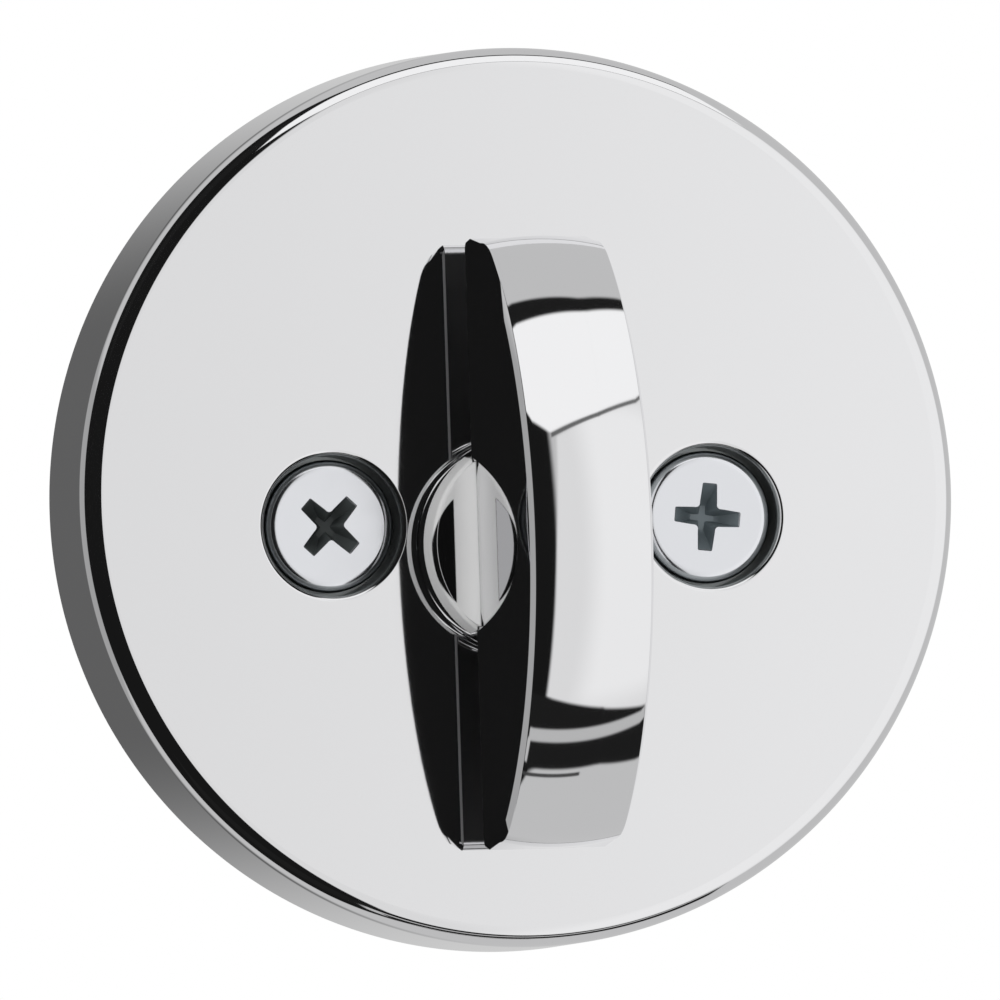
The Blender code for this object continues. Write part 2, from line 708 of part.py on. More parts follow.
def build_plate_screw(side, x, y, group, tools):
    """Turn a small countersunk screw, whose head faces the door, and mill its slot."""
    tip = PLATE_REAR + PLATE_SCREW_LENGTH
    profile = [
        (0, tip),
        (PLATE_SCREW_RADIUS, tip),
        (PLATE_SCREW_RADIUS, PLATE_REAR + PLATE_SCREW_HEAD_RADIUS - PLATE_SCREW_RADIUS),
        (PLATE_SCREW_HEAD_RADIUS, PLATE_REAR),
        (0, PLATE_REAR),
    ]
    screw = turned(f"plate_screw_{side}", profile, group, PIN_STEPS)
    screw.location = (x, y, 0)
    slot = block(
        f"slot_{side}",
        (PLATE_SCREW_HEAD_RADIUS * 2 + OVERRUN, PLATE_SCREW_SLOT, PLATE_SCREW_SLOT_DEPTH * 2),
        (x, y, PLATE_REAR),
        tools,
    )
    combine(screw, slot, "DIFFERENCE")
    return screw


def build_bushing(group):
    """Turn the flanged bearing."""
    top = ROSE_DEPTH - FIT
    profile = [
        (BUSHING_RADIUS, top),
        (BUSHING_RADIUS, FLANGE_TOP),
        (BUSHING_FLANGE_RADIUS, FLANGE_TOP),
        (BUSHING_FLANGE_RADIUS, FLANGE_BOTTOM),
        (BUSHING_BORE, FLANGE_BOTTOM),
        (BUSHING_BORE, top),
    ]
    return turned("hub_bushing", profile, group, HIDDEN_STEPS, closed=True)


def build_cam(group, tools):
    """Cut the square bore and the four click notches in the detent disc."""
    rim = arc(0, 0, CAM_RADIUS, 0, math.tau, SMALL_STEPS)[:-1]
    cam = flat("detent_cam", [rim, square_outline(FIT)], CAM_BOTTOM, CAM_TOP, group)
    away = CAM_RADIUS + NOTCH_RADIUS - NOTCH_DEPTH
    for quarter in range(4):
        turn = quarter * math.pi / 2
        notch = rod(f"notch_{quarter}", NOTCH_RADIUS, CAM_BOTTOM - OVERRUN, CAM_TOP + OVERRUN, tools,
                    PIN_STEPS)
        notch.location = (away * math.cos(turn), away * math.sin(turn), 0)
        combine(cam, notch, "DIFFERENCE")
    return cam


def strip_outline(centre_line, thickness):
    """Widen an open centre line of (x, y) points into the outline of a strip."""
    left = []
    right = []
    last = len(centre_line) - 1
    for index, (x, y) in enumerate(centre_line):
        before = centre_line[max(index - 1, 0)]
        after = centre_line[min(index + 1, last)]
        run = math.hypot(after[0] - before[0], after[1] - before[1])
        nx = -(after[1] - before[1]) / run * thickness / 2
        ny = (after[0] - before[0]) / run * thickness / 2
        left.append((x + nx, y + ny))
        right.append((x - nx, y - ny))
    return left + right[::-1]


def build_spring(name, side, group):
    """Bend a leaf spring: an eye round each post, and a bump in the middle that rides the cam."""
    eye = arc(-POST_SPREAD, POST_RISE, EYE_RADIUS, EYE_START, EYE_END, CORNER_STEPS * 2)
    bump = []
    for step in range(CORNER_STEPS * 2 + 1):
        share = step / (CORNER_STEPS * 2)
        dip = SPRING_BUMP * (1 - math.cos(math.tau * share)) / 2
        bump.append((SPRING_BUMP_LENGTH * (share - 1 / 2), SPRING_LINE - dip))
    path = eye + bump + [(-x, y) for x, y in reversed(eye)]
    outline = [(x, side * y) for x, y in strip_outline(path, SPRING_THICKNESS)]
    return flat(name, [outline], SPRING_BOTTOM, SPRING_TOP, group)


def build_post(name, x, y, group):
    """Turn the rivet that carries one end of a leaf spring."""
    cap_bottom = SPRING_TOP + FIT
    profile = [
        (0, cap_bottom + POST_CAP),
        (POST_CAP_RADIUS, cap_bottom + POST_CAP),
        (POST_CAP_RADIUS, cap_bottom),
        (POST_RADIUS, cap_bottom),
        (POST_RADIUS, PLATE_FRONT + FIT),
        (POST_TAIL_RADIUS, PLATE_FRONT + FIT),
        (POST_TAIL_RADIUS, REAR_SEAT),
        (POST_RIVET_RADIUS, REAR_SEAT),
        (POST_RIVET_RADIUS, REAR_SEAT - POST_RIVET),
        (0, REAR_SEAT - POST_RIVET),
    ]
    post = turned(name, profile, group, PIN_STEPS)
    post.location = (x, y, 0)
    return post


def plain_ring(name, outer, inner, bottom, top, group):
    """Turn a plain flat ring."""
    profile = [(outer, top), (outer, bottom), (inner, bottom), (inner, top)]
    return turned(name, profile, group, HIDDEN_STEPS, closed=True)


def build_wave_washer(group):
    """Turn a thin flat ring and bend it into waves."""
    middle = (WAVE_TOP + WAVE_BOTTOM) / 2
    washer = plain_ring("wave_washer", WAVE_RADIUS, TAIL_RADIUS + FIT, middle - WAVE_THICKNESS / 2,
                        middle + WAVE_THICKNESS / 2, group)
    settle(washer)
    for vertex in washer.data.vertices:
        turn = math.atan2(vertex.co.y, vertex.co.x)
        vertex.co.z += WAVE_RISE / 2 * math.cos(WAVE_COUNT * turn)
    return washer


def build_ring(group):
    """Cut the clip: an open ring with three prongs that reach into the groove."""
    grip = GROOVE_RADIUS + FIT
    relief = grip + RING_RELIEF
    mouth = grip * math.cos(RING_PRONG_TURNS[0])
    start = -math.acos(mouth / RING_RADIUS)
    outline = arc(0, 0, RING_RADIUS, start, math.pi - start, SMALL_STEPS)
    inside = arc(0, 0, grip, *RING_PRONG_TURNS, 3)
    inside += arc(0, 0, relief, *RING_RELIEF_TURNS, CORNER_STEPS)
    inside += arc(0, 0, grip, *RING_TOP_PRONG_TURNS, 4)
    inside += [(-x, y) for x, y in reversed(arc(0, 0, relief, *RING_RELIEF_TURNS, CORNER_STEPS))]
    inside += [(-x, y) for x, y in reversed(arc(0, 0, grip, *RING_PRONG_TURNS, 3))]
    return flat("retaining_ring", [outline + inside[::-1]], RING_BOTTOM, RING_TOP, group)


def build_blade(group, tools):
    """Cut the flat driver bar with its score notches, pointed tip and pin hole."""
    half = BLADE_WIDTH / 2
    side = [(half, BLADE_SEAT)]
    for score in range(BLADE_SCORES, 0, -1):
        height = score * BLADE_SCORE_PITCH - BLADE_REACH
        side += [
            (half, height + BLADE_SCORE_DEPTH),
            (half - BLADE_SCORE_DEPTH, height),
            (half, height - BLADE_SCORE_DEPTH),
        ]
    side += [(half, BLADE_TIP - BLADE_REACH), (half - BLADE_TIP, -BLADE_REACH)]
    outline = side + [(-up, height) for up, height in reversed(side)]
    blade = sideways("torque_blade", outline, BLADE_THICKNESS, group)
    hole = rod("blade_hole", PIN_RADIUS + FIT, -BLADE_THICKNESS, BLADE_THICKNESS, tools, PIN_STEPS)
    hole.rotation_euler = (0, math.pi / 2, 0)
    hole.location = (0, 0, PIN_HEIGHT)
    combine(blade, hole, "DIFFERENCE")
    return blade


def build_pin(group):
    """Roll the slotted pin and lay it across the stem."""
    inner = PIN_RADIUS - PIN_WALL
    outer_start = math.asin(PIN_SLIT / 2 / PIN_RADIUS)
    inner_start = math.asin(PIN_SLIT / 2 / inner)
    outline = arc(0, 0, PIN_RADIUS, outer_start, math.tau - outer_start, PIN_STEPS)
    outline += arc(0, 0, inner, math.tau - inner_start, inner_start, PIN_STEPS)
    pin = flat("blade_pin", [outline], FIT - TAIL_RADIUS, TAIL_RADIUS - FIT, group)
    pin.rotation_euler = (0, math.pi / 2, 0)
    pin.location = (0, 0, PIN_HEIGHT)
    return pin


def build_keeper(side, x, group):
    """Turn the plastic ring that keeps a mounting screw in the trim."""
    bottom = REAR_SEAT - KEEPER_THICKNESS
    profile = [
        (KEEPER_RADIUS, REAR_SEAT),
        (KEEPER_RADIUS, bottom + KEEPER_EDGE),
        (KEEPER_RADIUS - KEEPER_EDGE, bottom),
        (SHANK_HOLE, bottom),
        (SHANK_HOLE, REAR_SEAT),
    ]
    keeper = turned(f"screw_keeper_{side}", profile, group, HIDDEN_STEPS, closed=True)
    keeper.location = (x, SCREW_RISE, 0)
    return keeper


def make_finishes():
    """The materials of the trim, each with its colour, metallic value and roughness."""
    return {
        "polished_chrome": new_material("polished_chrome", (0.62, 0.62, 0.63), 1.0, 0.08),
        "chrome_screw": new_material("chrome_screw", (0.66, 0.67, 0.70), 1.0, 0.18),
        "zinc_plated_steel": new_material("zinc_plated_steel", (0.55, 0.56, 0.58), 1.0, 0.38),
        "zinc_screw": new_material("zinc_screw", (0.58, 0.59, 0.60), 1.0, 0.32),
        "cam_steel": new_material("cam_steel", (0.42, 0.42, 0.43), 1.0, 0.45),
        "spring_steel": new_material("spring_steel", (0.34, 0.35, 0.37), 1.0, 0.30),
        "rivet_steel": new_material("rivet_steel", (0.50, 0.50, 0.51), 1.0, 0.40),
        "white_acetal": new_material("white_acetal", (0.86, 0.86, 0.84), 0.0, 0.45),
        "black_nylon": new_material("black_nylon", (0.03, 0.03, 0.03), 0.0, 0.55),
    }


def main():
    """Build the trim: what stays on the door first, then what turns."""
    clear_scene()
    group = new_collection(NAME)
    tools = new_collection("cutters")
    finishes = make_finishes()
    door = carrier("door_face", group)
    spindle = carrier("spindle", group)

    still = [(build_rose(group, tools), "polished_chrome")]
    for side, x, turn in screw_places():
        still.append((build_mounting_screw(side, x, turn, group, tools), "chrome_screw"))
        still.append((build_keeper(side, x, group), "black_nylon"))
    still.append((build_plate(group, tools), "zinc_plated_steel"))
    for side, x, y in plate_screw_places():
        still.append((build_plate_screw(side, x, y, group, tools), "zinc_screw"))
    still.append((build_bushing(group), "white_acetal"))
    still.append((build_spring("detent_spring_upper", 1, group), "spring_steel"))
    still.append((build_spring("detent_spring_lower", -1, group), "spring_steel"))
    for number, (x, y) in enumerate(post_places(), start=1):
        still.append((build_post(f"spring_post_{number}", x, y, group), "rivet_steel"))
    still.append((plain_ring("thrust_washer", THRUST_RADIUS, TAIL_RADIUS + FIT, THRUST_BOTTOM,
                             REAR_SEAT, group), "black_nylon"))
    still.append((build_wave_washer(group), "spring_steel"))

    turning = [
        (build_turn(group, tools), "polished_chrome"),
        (build_cam(group, tools), "cam_steel"),
        (build_ring(group), "spring_steel"),
        (build_blade(group, tools), "zinc_plated_steel"),
        (build_pin(group), "spring_steel"),
    ]

    for pieces, parent in ((still, door), (turning, spindle)):
        for piece, finish in pieces:
            settle(piece)
            piece.data.materials.append(finishes[finish])
            piece.parent = parent
    for tool in tools.objects:
        tool.parent = door


main()
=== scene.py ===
"""Looks of a deadbolt's inside trim: a polished rose with a half-moon thumb turn.

Lengths are in metres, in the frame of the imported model: X to the right, Y into the door, Z up.
Pieces are shaped in a flat frame of their own, with x to the right, y up and z out of the door,
and are stood upright when they are dressed. A height is a distance out from the door face.
"""

from __future__ import annotations

import logging
import math
from dataclasses import dataclass, replace
from enum import Enum
from typing import Iterable, Sequence

import bmesh
import bpy
from mathutils import Matrix, Vector


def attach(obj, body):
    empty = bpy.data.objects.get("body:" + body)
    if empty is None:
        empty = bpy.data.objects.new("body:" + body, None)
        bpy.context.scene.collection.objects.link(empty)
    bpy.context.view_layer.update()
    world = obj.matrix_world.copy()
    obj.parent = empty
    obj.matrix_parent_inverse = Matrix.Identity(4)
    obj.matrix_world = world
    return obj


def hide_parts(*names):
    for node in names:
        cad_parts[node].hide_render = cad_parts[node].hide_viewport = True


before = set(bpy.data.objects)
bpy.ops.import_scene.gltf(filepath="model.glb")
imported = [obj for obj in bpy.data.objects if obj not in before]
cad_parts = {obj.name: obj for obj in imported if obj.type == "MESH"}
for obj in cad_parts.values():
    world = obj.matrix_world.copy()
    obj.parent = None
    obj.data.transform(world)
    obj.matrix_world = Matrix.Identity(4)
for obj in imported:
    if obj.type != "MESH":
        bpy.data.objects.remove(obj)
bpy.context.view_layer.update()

log = logging.getLogger("trim")
Point = tuple[float, float]
Outline = list[Point]
Colour = tuple[float, float, float]
Object = bpy.types.Object
Socket = bpy.types.NodeSocket

QUARTER = math.pi / 2
STAND = Matrix.Rotation(QUARTER, 4, "X")
ALONG_X = Matrix.Rotation(QUARTER, 4, "Y")

# What counts as a corner, a flat face, one spot or a face square to the spindle

LEAST_BEND, MOST_BEND = math.radians(20), math.radians(170)
CORNER_SHARE = 0.45
FLAT_ENOUGH = math.radians(0.5)
BROKEN_ABOVE = math.radians(50)
SAME_SPOT = 1e-6
SQUARE_ON = 0.99999

# Places that several pieces share, right and up from the spindle

ROSE_RISE = 0.00355
SPINDLE = (0.0, 0.0)
SCREWS = {"left": (-0.01435, 0.00175), "right": (0.01435, 0.00175)}
SMALL_CIRCLE = 0.0265
SMALL_SCREWS = {side: (SMALL_CIRCLE * math.cos(math.radians(turn)),
                       ROSE_RISE + SMALL_CIRCLE * math.sin(math.radians(turn)))
                for side, turn in (("top", 90), ("left", 215), ("right", 325))}

# How far the screws are turned in degrees, and how far out the blade's pin sits

SCREW_TURNS = {"left": 47, "right": -6.5}
SMALL_SCREW_TURNS = {"top": 20, "left": 75, "right": -35}
PIN_HEIGHT = -0.0053


class Carrier(Enum):
    """The bodies that pieces ride on."""

    ROSE = "rose_body"
    TURN = "turn_body"


class Slot(Enum):
    """The record's material slots."""

    CHROME = "polished_chrome"
    SCREW = "chrome_screw"
    PLATE = "zinc_plated_steel"
    SMALL_SCREW = "zinc_screw"
    CAM = "cam_steel"
    SPRING = "spring_steel"
    RIVET = "rivet_steel"
    ACETAL = "white_acetal"
    NYLON = "black_nylon"


# Finishes

CLOUD_DETAIL = 3.0
CLOUD_RANGE = (0.3, 0.7)
GRAIN_DETAIL = 2.0


@dataclass(frozen=True)
class Wiring:
    """A node tree, to which nodes are added with their inputs set or linked."""

    tree: bpy.types.NodeTree

    def feed(self, socket: Socket, value: object) -> None:
        """Link an input to a socket, or set it to a plain value.

        Args:
            socket: the input.
            value: the socket or the plain value.
        """
        if isinstance(value, bpy.types.NodeSocket):
            self.tree.links.new(value, socket)
        else:
            socket.default_value = value

    def add(self, kind: str, inputs: dict, out: str | int = 0, **settings: str) -> Socket:
        """Add a node.

        Args:
            kind: its type, without the word ShaderNode.
            inputs: sockets or plain values, by the input's name or number.
            out: name or number of the output that is wanted.
            settings: the node's own settings.

        Returns:
            The output's socket.
        """
        node = self.tree.nodes.new("ShaderNode" + kind)
        for name, setting in settings.items():
            setattr(node, name, setting)
        for name, value in inputs.items():
            self.feed(node.inputs[name], value)
        return node.outputs[out]

    def calculate(self, operation: str, *values: object) -> Socket:
        """Add a math node for sockets or numbers."""
        return self.add("Math", dict(enumerate(values)), operation=operation)

    def dot(self, first: object, second: object) -> Socket:
        """Multiply two vectors into a number."""
        return self.add("VectorMath", {0: first, 1: second}, "Value", operation="DOT_PRODUCT")

    def axis(self, vector: Socket, name: str) -> Socket:
        """Take one coordinate of a vector."""
        return self.add("SeparateXYZ", {0: vector}, name)

    def from_axis(self, place: Socket, centre: Point) -> Socket:
        """The way to a place from an axis that points into the door."""
        apart = self.add("VectorMath", {0: place, 1: (centre[0], 0, centre[1])},
                         operation="SUBTRACT")
        return self.add("VectorMath", {0: apart, 1: (1, 0, 1)}, operation="MULTIPLY")

    def ramp(self, value: Socket, limits: Point, ends: Point = (0.0, 1.0),
             shape: str = "SMOOTHSTEP") -> Socket:
        """Turn a number's way between two limits into its way between two ends.

        Args:
            value: the number.
            limits: where the way starts and ends.
            ends: what it gives there.
            shape: how it runs between them.

        Returns:
            The result's socket.
        """
        names = ("From Min", "From Max", "To Min", "To Max")
        inputs = {"Value": value, **dict(zip(names, (*limits, *ends)))}
        return self.add("MapRange", inputs, "Result", interpolation_type=shape)

    def blend(self, target: Socket, mask: Socket, value: object) -> None:
        """Lay a value over what an input has, where a mask is 1.

        Args:
            target: the input.
            mask: the mask.
            value: a number, or a colour with its alpha.
        """
        coloured = isinstance(value, tuple)
        first, second, out = (6, 7, 2) if coloured else (2, 3, 0)
        before = target.links[0].from_socket if target.is_linked else target.default_value
        self.feed(target, self.add("Mix", {0: mask, first: before, second: value}, out,
                                   data_type="RGBA" if coloured else "FLOAT"))


@dataclass(frozen=True)
class Zone:
    """A round place on a piece where light or shade is painted into its colour, with its own
    metallic and roughness.

    Attributes:
        centre: its axis, right and up.
        radius: how far it reaches from its axis.
        low: lowest height out of the door.
        high: highest height out of the door.
        aside: least distance from the spindle's upright plane.
        soft: width of its soft edge.
        colour: linear base colour in it.
        metallic: metallic value in it.
        roughness: roughness in it.
        lean: how steeply its surface climbs away from the spindle's upright plane.
    """

    centre: Point
    radius: float
    low: float
    high: float
    aside: float
    soft: float
    # colour: linear base colour in it, lighter or darker to paint the light or shade there.
    colour: Colour
    metallic: float
    roughness: float
    lean: float = 0.0

    def lay(self, net: Wiring, shader: bpy.types.Node, place: Socket) -> None:
        """Lay the zone over the finish.

        Args:
            net: the material's nodes.
            shader: the surface shader.
            place: the coordinates of the surface.
        """
        around = net.from_axis(place, self.centre)
        depth, side = net.axis(place, "Y"), net.calculate("ABSOLUTE", net.axis(place, "X"))
        limits = (
            (net.add("VectorMath", {0: around}, "Value", operation="LENGTH"), self.radius, False),
            (depth, -self.low, False), (depth, -self.high, True), (side, self.aside, True),
        )
        mask: object = 1.0
        for source, limit, above in limits:
            edge = net.ramp(source, (limit - self.soft / 2, limit + self.soft / 2),
                            (float(not above), float(above)))
            mask = net.calculate("MULTIPLY", mask, edge)
        net.blend(shader.inputs["Base Color"], mask, (*self.colour, 1))
        net.blend(shader.inputs["Metallic"], mask, self.metallic)
        net.blend(shader.inputs["Roughness"], mask, self.roughness)
        if self.lean:
            normal = shader.inputs["Normal"]
            press = {"Strength": mask, "Distance": self.lean, "Height": side,
                     "Normal": normal.links[0].from_socket}
            net.feed(normal, net.add("Bump", press))


@dataclass(frozen=True)
class Finish:
    """A surface finish made of a base colour with fine procedural variation.

    Attributes:
        slot: the record's slot that the finish stands for.
        colour: linear base colour.
        metallic: 1 for metal and 0 for plastic.
        roughness: mean roughness.
        roughness_spread: how far the roughness wanders either side of the mean.
        cloud_scale: size of the slow variation, in features per metre.
        tint_spread: how far the colour wanders, as a share of the colour.
        grain_scale: size of the fine grain, in features per metre.
        grain_stretch: how much longer the grain runs along the piece's Z than across it.
        grain_height: depth of the grain in metres.
        name: a name of its own, where the slot's isn't enough.
        crown: how far the polished face falls away from its middle, per metre of radius squared.
        zones: places where light or shade is painted into the colour.
    """

    slot: Slot
    colour: Colour
    metallic: float
    roughness: float
    roughness_spread: float
    cloud_scale: float
    tint_spread: float
    grain_scale: float
    grain_stretch: float
    grain_height: float
    name: str = ""
    crown: float = 0.0
    zones: tuple[Zone, ...] = ()

    def material(self) -> bpy.types.Material:
        """Build the finish's node tree, or find it if it has been built.

        Returns:
            The material.
        """
        title = "finish_" + (self.name or self.slot.value)
        if title in bpy.data.materials:
            return bpy.data.materials[title]
        material = bpy.data.materials.new(title)
        material.use_nodes = True
        net = Wiring(material.node_tree)
        shader = net.tree.nodes["Principled BSDF"]
        shader.inputs["Metallic"].default_value = self.metallic
        place = net.add("TexCoord", {}, "Object")
        cloudy = {"Vector": place, "Scale": self.cloud_scale, "Detail": CLOUD_DETAIL}
        clouds = net.add("TexNoise", cloudy, "Fac")
        dark, light = ((*[min(1, c * (1 + tint)) for c in self.colour], 1)
                       for tint in (-self.tint_spread, self.tint_spread))
        net.feed(shader.inputs["Base Color"],
                 net.add("Mix", {0: clouds, 6: dark, 7: light}, 2, data_type="RGBA"))
        spread = self.roughness_spread
        ends = (max(0.0, self.roughness - spread), self.roughness + spread)
        net.feed(shader.inputs["Roughness"], net.ramp(clouds, CLOUD_RANGE, ends, "LINEAR"))
        net.feed(shader.inputs["Normal"], self._grain(net, place))
        for zone in self.zones:
            zone.lay(net, shader, place)
        return material

    def _grain(self, net: Wiring, place: Socket) -> Socket:
        """Press the fine grain into the surface, which polishing has crowned a little.

        Args:
            net: the material's nodes.
            place: the coordinates of the surface.

        Returns:
            The normal's socket.
        """
        along = net.add("Mapping", {"Vector": place, "Scale": (1, 1, 1 / self.grain_stretch)})
        grainy = {"Vector": along, "Scale": self.grain_scale, "Detail": GRAIN_DETAIL}
        grain = net.add("TexNoise", grainy, "Fac")
        press: dict[str, object] = {"Strength": 1.0, "Distance": self.grain_height, "Height": grain}
        if self.crown:
            around = net.from_axis(place, (0.0, ROSE_RISE))
            fall = net.calculate("MULTIPLY", net.dot(around, around), -self.crown)
            press["Normal"] = net.add("Bump", {"Strength": 1.0, "Distance": 1.0, "Height": fall})
        return net.add("Bump", press)


CHROME = Finish(Slot.CHROME, (0.80, 0.80, 0.81), 1.0, 0.035, 0.012, 60, 0.008, 900, 1, 2e-7)
# Painted shade: the screw pockets' walls get a darker colour for the shade inside them, and a satin
# roughness.
POCKET_SHADE = tuple(Zone(place, 0.0054, 0.004, 0.01042, 0.0, 0.0001, (0.38, 0.40, 0.40), 1.0, 0.32)
                for place in SCREWS.values())
ROSE_CHROME = replace(CHROME, name="rose", crown=0.3, zones=POCKET_SHADE)
# Painted shade: the grip's back face, in the narrow gap over the rose, is painted near black and
# not metallic.
BACK_FACE_SHADE = Zone(SPINDLE, 0.0300, 0.0138, 0.01392, 0.0, 0.00004, (0.05, 0.05, 0.05), 0.0, 0.60)
# Painted highlight: the rounded back edges of the grip are painted pale grey, part metallic, for
# the line of light along them.
BACK_EDGE_HIGHLIGHT = Zone(SPINDLE, 0.0300, 0.0138, 0.01405, 0.00440, 0.00004, (0.60, 0.60, 0.60), 0.30, 0.50)
# Painted highlight: the collar's upper wall and top beside the grip are painted near white and
# almost not metallic, with a satin roughness.
HUB_WALL_HIGHLIGHT = Zone(SPINDLE, 0.0085, 0.0124, 0.0162, 0.00473, 0.0001, (0.88, 0.88, 0.88), 0.06, 0.50)
# Painted shade on a reflection: a polished patch on the collar's top, its normals leaned, gets a
# darker colour that dims what it mirrors.
HUB_POLISH_AND_SHADE = Zone((-0.0028, -0.00045), 0.00514, 0.0143, 0.0152, 0.00625, 0.00012, (0.46, 0.46, 0.47),
                 1.0, 0.05, 0.158)
TURN_CHROME = replace(CHROME, name="turn", zones=(BACK_FACE_SHADE, BACK_EDGE_HIGHLIGHT, HUB_WALL_HIGHLIGHT, HUB_POLISH_AND_SHADE))
# Painted shade: the screws' cross recesses are painted dark, the left one darker than the right.
RECESS_SHADE = (
    Zone(SCREWS["left"], 0.0030, 0.006, 0.00950, 0.0, 0.0001, (0.075, 0.085, 0.085), 0.1, 0.55),
    Zone(SCREWS["right"], 0.0030, 0.006, 0.00950, 0.0, 0.0001, (0.22, 0.26, 0.28), 0.3, 0.35),
)
SCREW_CHROME = Finish(Slot.SCREW, (0.78, 0.79, 0.82), 1.0, 0.16, 0.04, 300, 0.02, 2500, 1, 1e-6,
                      zones=RECESS_SHADE)
ZINC_PLATE = Finish(Slot.PLATE, (0.55, 0.56, 0.58), 1.0, 0.36, 0.08, 90, 0.06, 1800, 6, 2e-6)
ZINC_SCREW = Finish(Slot.SMALL_SCREW, (0.58, 0.59, 0.60), 1.0, 0.30, 0.06, 400, 0.05, 3000, 1, 2e-6)
SINTERED = Finish(Slot.CAM, (0.42, 0.42, 0.43), 1.0, 0.46, 0.08, 300, 0.08, 5000, 1, 6e-6)
SPRING_STEEL = Finish(Slot.SPRING, (0.34, 0.35, 0.37), 1.0, 0.30, 0.06, 200, 0.06, 3000, 5, 2e-6)
RIVET_STEEL = Finish(Slot.RIVET, (0.50, 0.50, 0.51), 1.0, 0.40, 0.06, 400, 0.05, 3000, 1, 2e-6)
ACETAL = Finish(Slot.ACETAL, (0.86, 0.86, 0.84), 0.0, 0.45, 0.05, 200, 0.02, 4000, 1, 3e-6)
NYLON = Finish(Slot.NYLON, (0.03, 0.03, 0.03), 0.0, 0.52, 0.06, 250, 0.15, 4000, 1, 4e-6)


# Shapes


def arc(cx: float, cy: float, radius: float, start: float, end: float, steps: int) -> Outline:
    """Points on an arc between two angles in radians, both ends included."""
    angles = (start + (end - start) * step / steps for step in range(steps + 1))
    return [(cx + radius * math.cos(a), cy + radius * math.sin(a)) for a in angles]


def circle(cx: float, cy: float, radius: float, steps: int) -> Outline:
    """Points round a full circle, without the closing one."""
    return arc(cx, cy, radius, 0, math.tau, steps)[:-1]


def bar(start: float, end: float, half: float, turn: float = 0.0) -> Outline:
    """The corners of a straight bar.

    Args:
        start: where it starts.
        end: where it ends.
        half: half its width.
        turn: its angle about the axis, in radians.

    Returns:
        The points.
    """
    corners = ((start, -half), (end, -half), (end, half), (start, half))
    c, s = math.cos(turn), math.sin(turn)
    return [(x * c - y * s, x * s + y * c) for x, y in corners]


def mirrored(half: Sequence[Point]) -> Outline:
    """The same points on the other side of the upright axis, in the opposite order."""
    return [(-x, y) for x, y in reversed(half)]


def soften(points: Sequence[Point], radius: float, steps: int = 4, closed: bool = False) -> Outline:
    """Round the corners of a polyline, apart from its slight and its folded ones.

    Args:
        points: the polyline.
        radius: how far the rounding reaches, limited to what the sides leave.
        steps: segments in each corner.
        closed: whether the last point joins the first.

    Returns:
        The rounded polyline.
    """
    result: Outline = []
    count = len(points)
    for index, (px, py) in enumerate(points):
        ax, ay = points[index - 1]
        bx, by = points[(index + 1) % count]
        into, out = Vector((px - ax, py - ay)), Vector((bx - px, by - py))
        bend = into.angle(out, 0.0)
        loose_end = not closed and index in (0, count - 1)
        if loose_end or not LEAST_BEND <= bend <= MOST_BEND:
            result.append((px, py))
            continue
        reach = min(radius * math.tan(bend / 2), into.length * CORNER_SHARE,
                    out.length * CORNER_SHARE)
        corner = Vector((px, py))
        first, last = corner - into.normalized() * reach, corner + out.normalized() * reach
        for step in range(steps + 1):
            t = step / steps
            spot = first * (1 - t) ** 2 + corner * 2 * t * (1 - t) + last * t ** 2
            result.append((spot.x, spot.y))
    return result


def wrap_mesh(name: str, build: bmesh.types.BMesh, outward: bool = True) -> Object:
    """Turn a finished bmesh into an object in the scene.

    Args:
        name: the object's name.
        build: the mesh, which is freed.
        outward: whether its faces are turned outward first.

    Returns:
        The object.
    """
    if outward:
        bmesh.ops.recalc_face_normals(build, faces=build.faces)
    mesh = bpy.data.meshes.new(name)
    build.to_mesh(mesh)
    build.free()
    piece = bpy.data.objects.new(name, mesh)
    bpy.context.scene.collection.objects.link(piece)
    return piece


def lathe(name: str, profile: Sequence[Point], facets: int, centre: Point = SPINDLE,
          closed: bool = False) -> Object:
    """Turn a profile of (radius, height) points about an axis that points out of the door.

    Args:
        name: the object's name.
        profile: the points; an open profile is closed on the axis at both ends.
        facets: how many facets there are round the axis.
        centre: the axis' place, right and up.
        closed: whether the last point joins the first, as in a ring.

    Returns:
        The object.
    """
    build = bmesh.new()
    if not closed:
        profile = [(0, profile[0][1]), *profile, (0, profile[-1][1])]
    rings: list[list[bmesh.types.BMVert]] = []
    for radius, height in profile:
        spots = circle(*centre, radius, facets if radius else 1)
        rings.append([build.verts.new((x, y, height)) for x, y in spots])
    pairs = list(zip(rings, rings[1:]))
    if closed:
        pairs.append((rings[-1], rings[0]))
    for upper, lower in pairs:
        for step in range(facets):
            after = (step + 1) % facets
            corners = [upper[step % len(upper)], lower[step % len(lower)],
                       lower[after % len(lower)], upper[after % len(upper)]]
            build.faces.new(list(dict.fromkeys(corners)))
    return wrap_mesh(name, build)


def loft(name: str, rings: Sequence[Sequence[tuple[float, float, float]]]) -> Object:
    """Join equal rings of points into one closed shape with a flat face at each end.

    Args:
        name: the object's name.
        rings: the rings, in order.

    Returns:
        The object.
    """
    build = bmesh.new()
    made = [[build.verts.new(spot) for spot in ring] for ring in rings]
    for before, after in zip(made, made[1:]):
        for index in range(len(before)):
            following = (index + 1) % len(before)
            build.faces.new((before[index], before[following], after[following], after[index]))
    build.faces.new(made[0])
    build.faces.new(made[-1])
    return wrap_mesh(name, build)


def finished_mesh(thing: Object) -> bpy.types.Mesh:
    """The mesh that an object's curve or modifiers come to."""
    bpy.context.view_layer.update()
    return bpy.data.meshes.new_from_object(
        thing.evaluated_get(bpy.context.evaluated_depsgraph_get()))


def bake(piece: Object) -> None:
    """Fix a piece's modifiers into its mesh.

    Args:
        piece: the object.
    """
    old, mesh = piece.data, finished_mesh(piece)
    piece.modifiers.clear()
    piece.data = mesh
    bpy.data.meshes.remove(old)


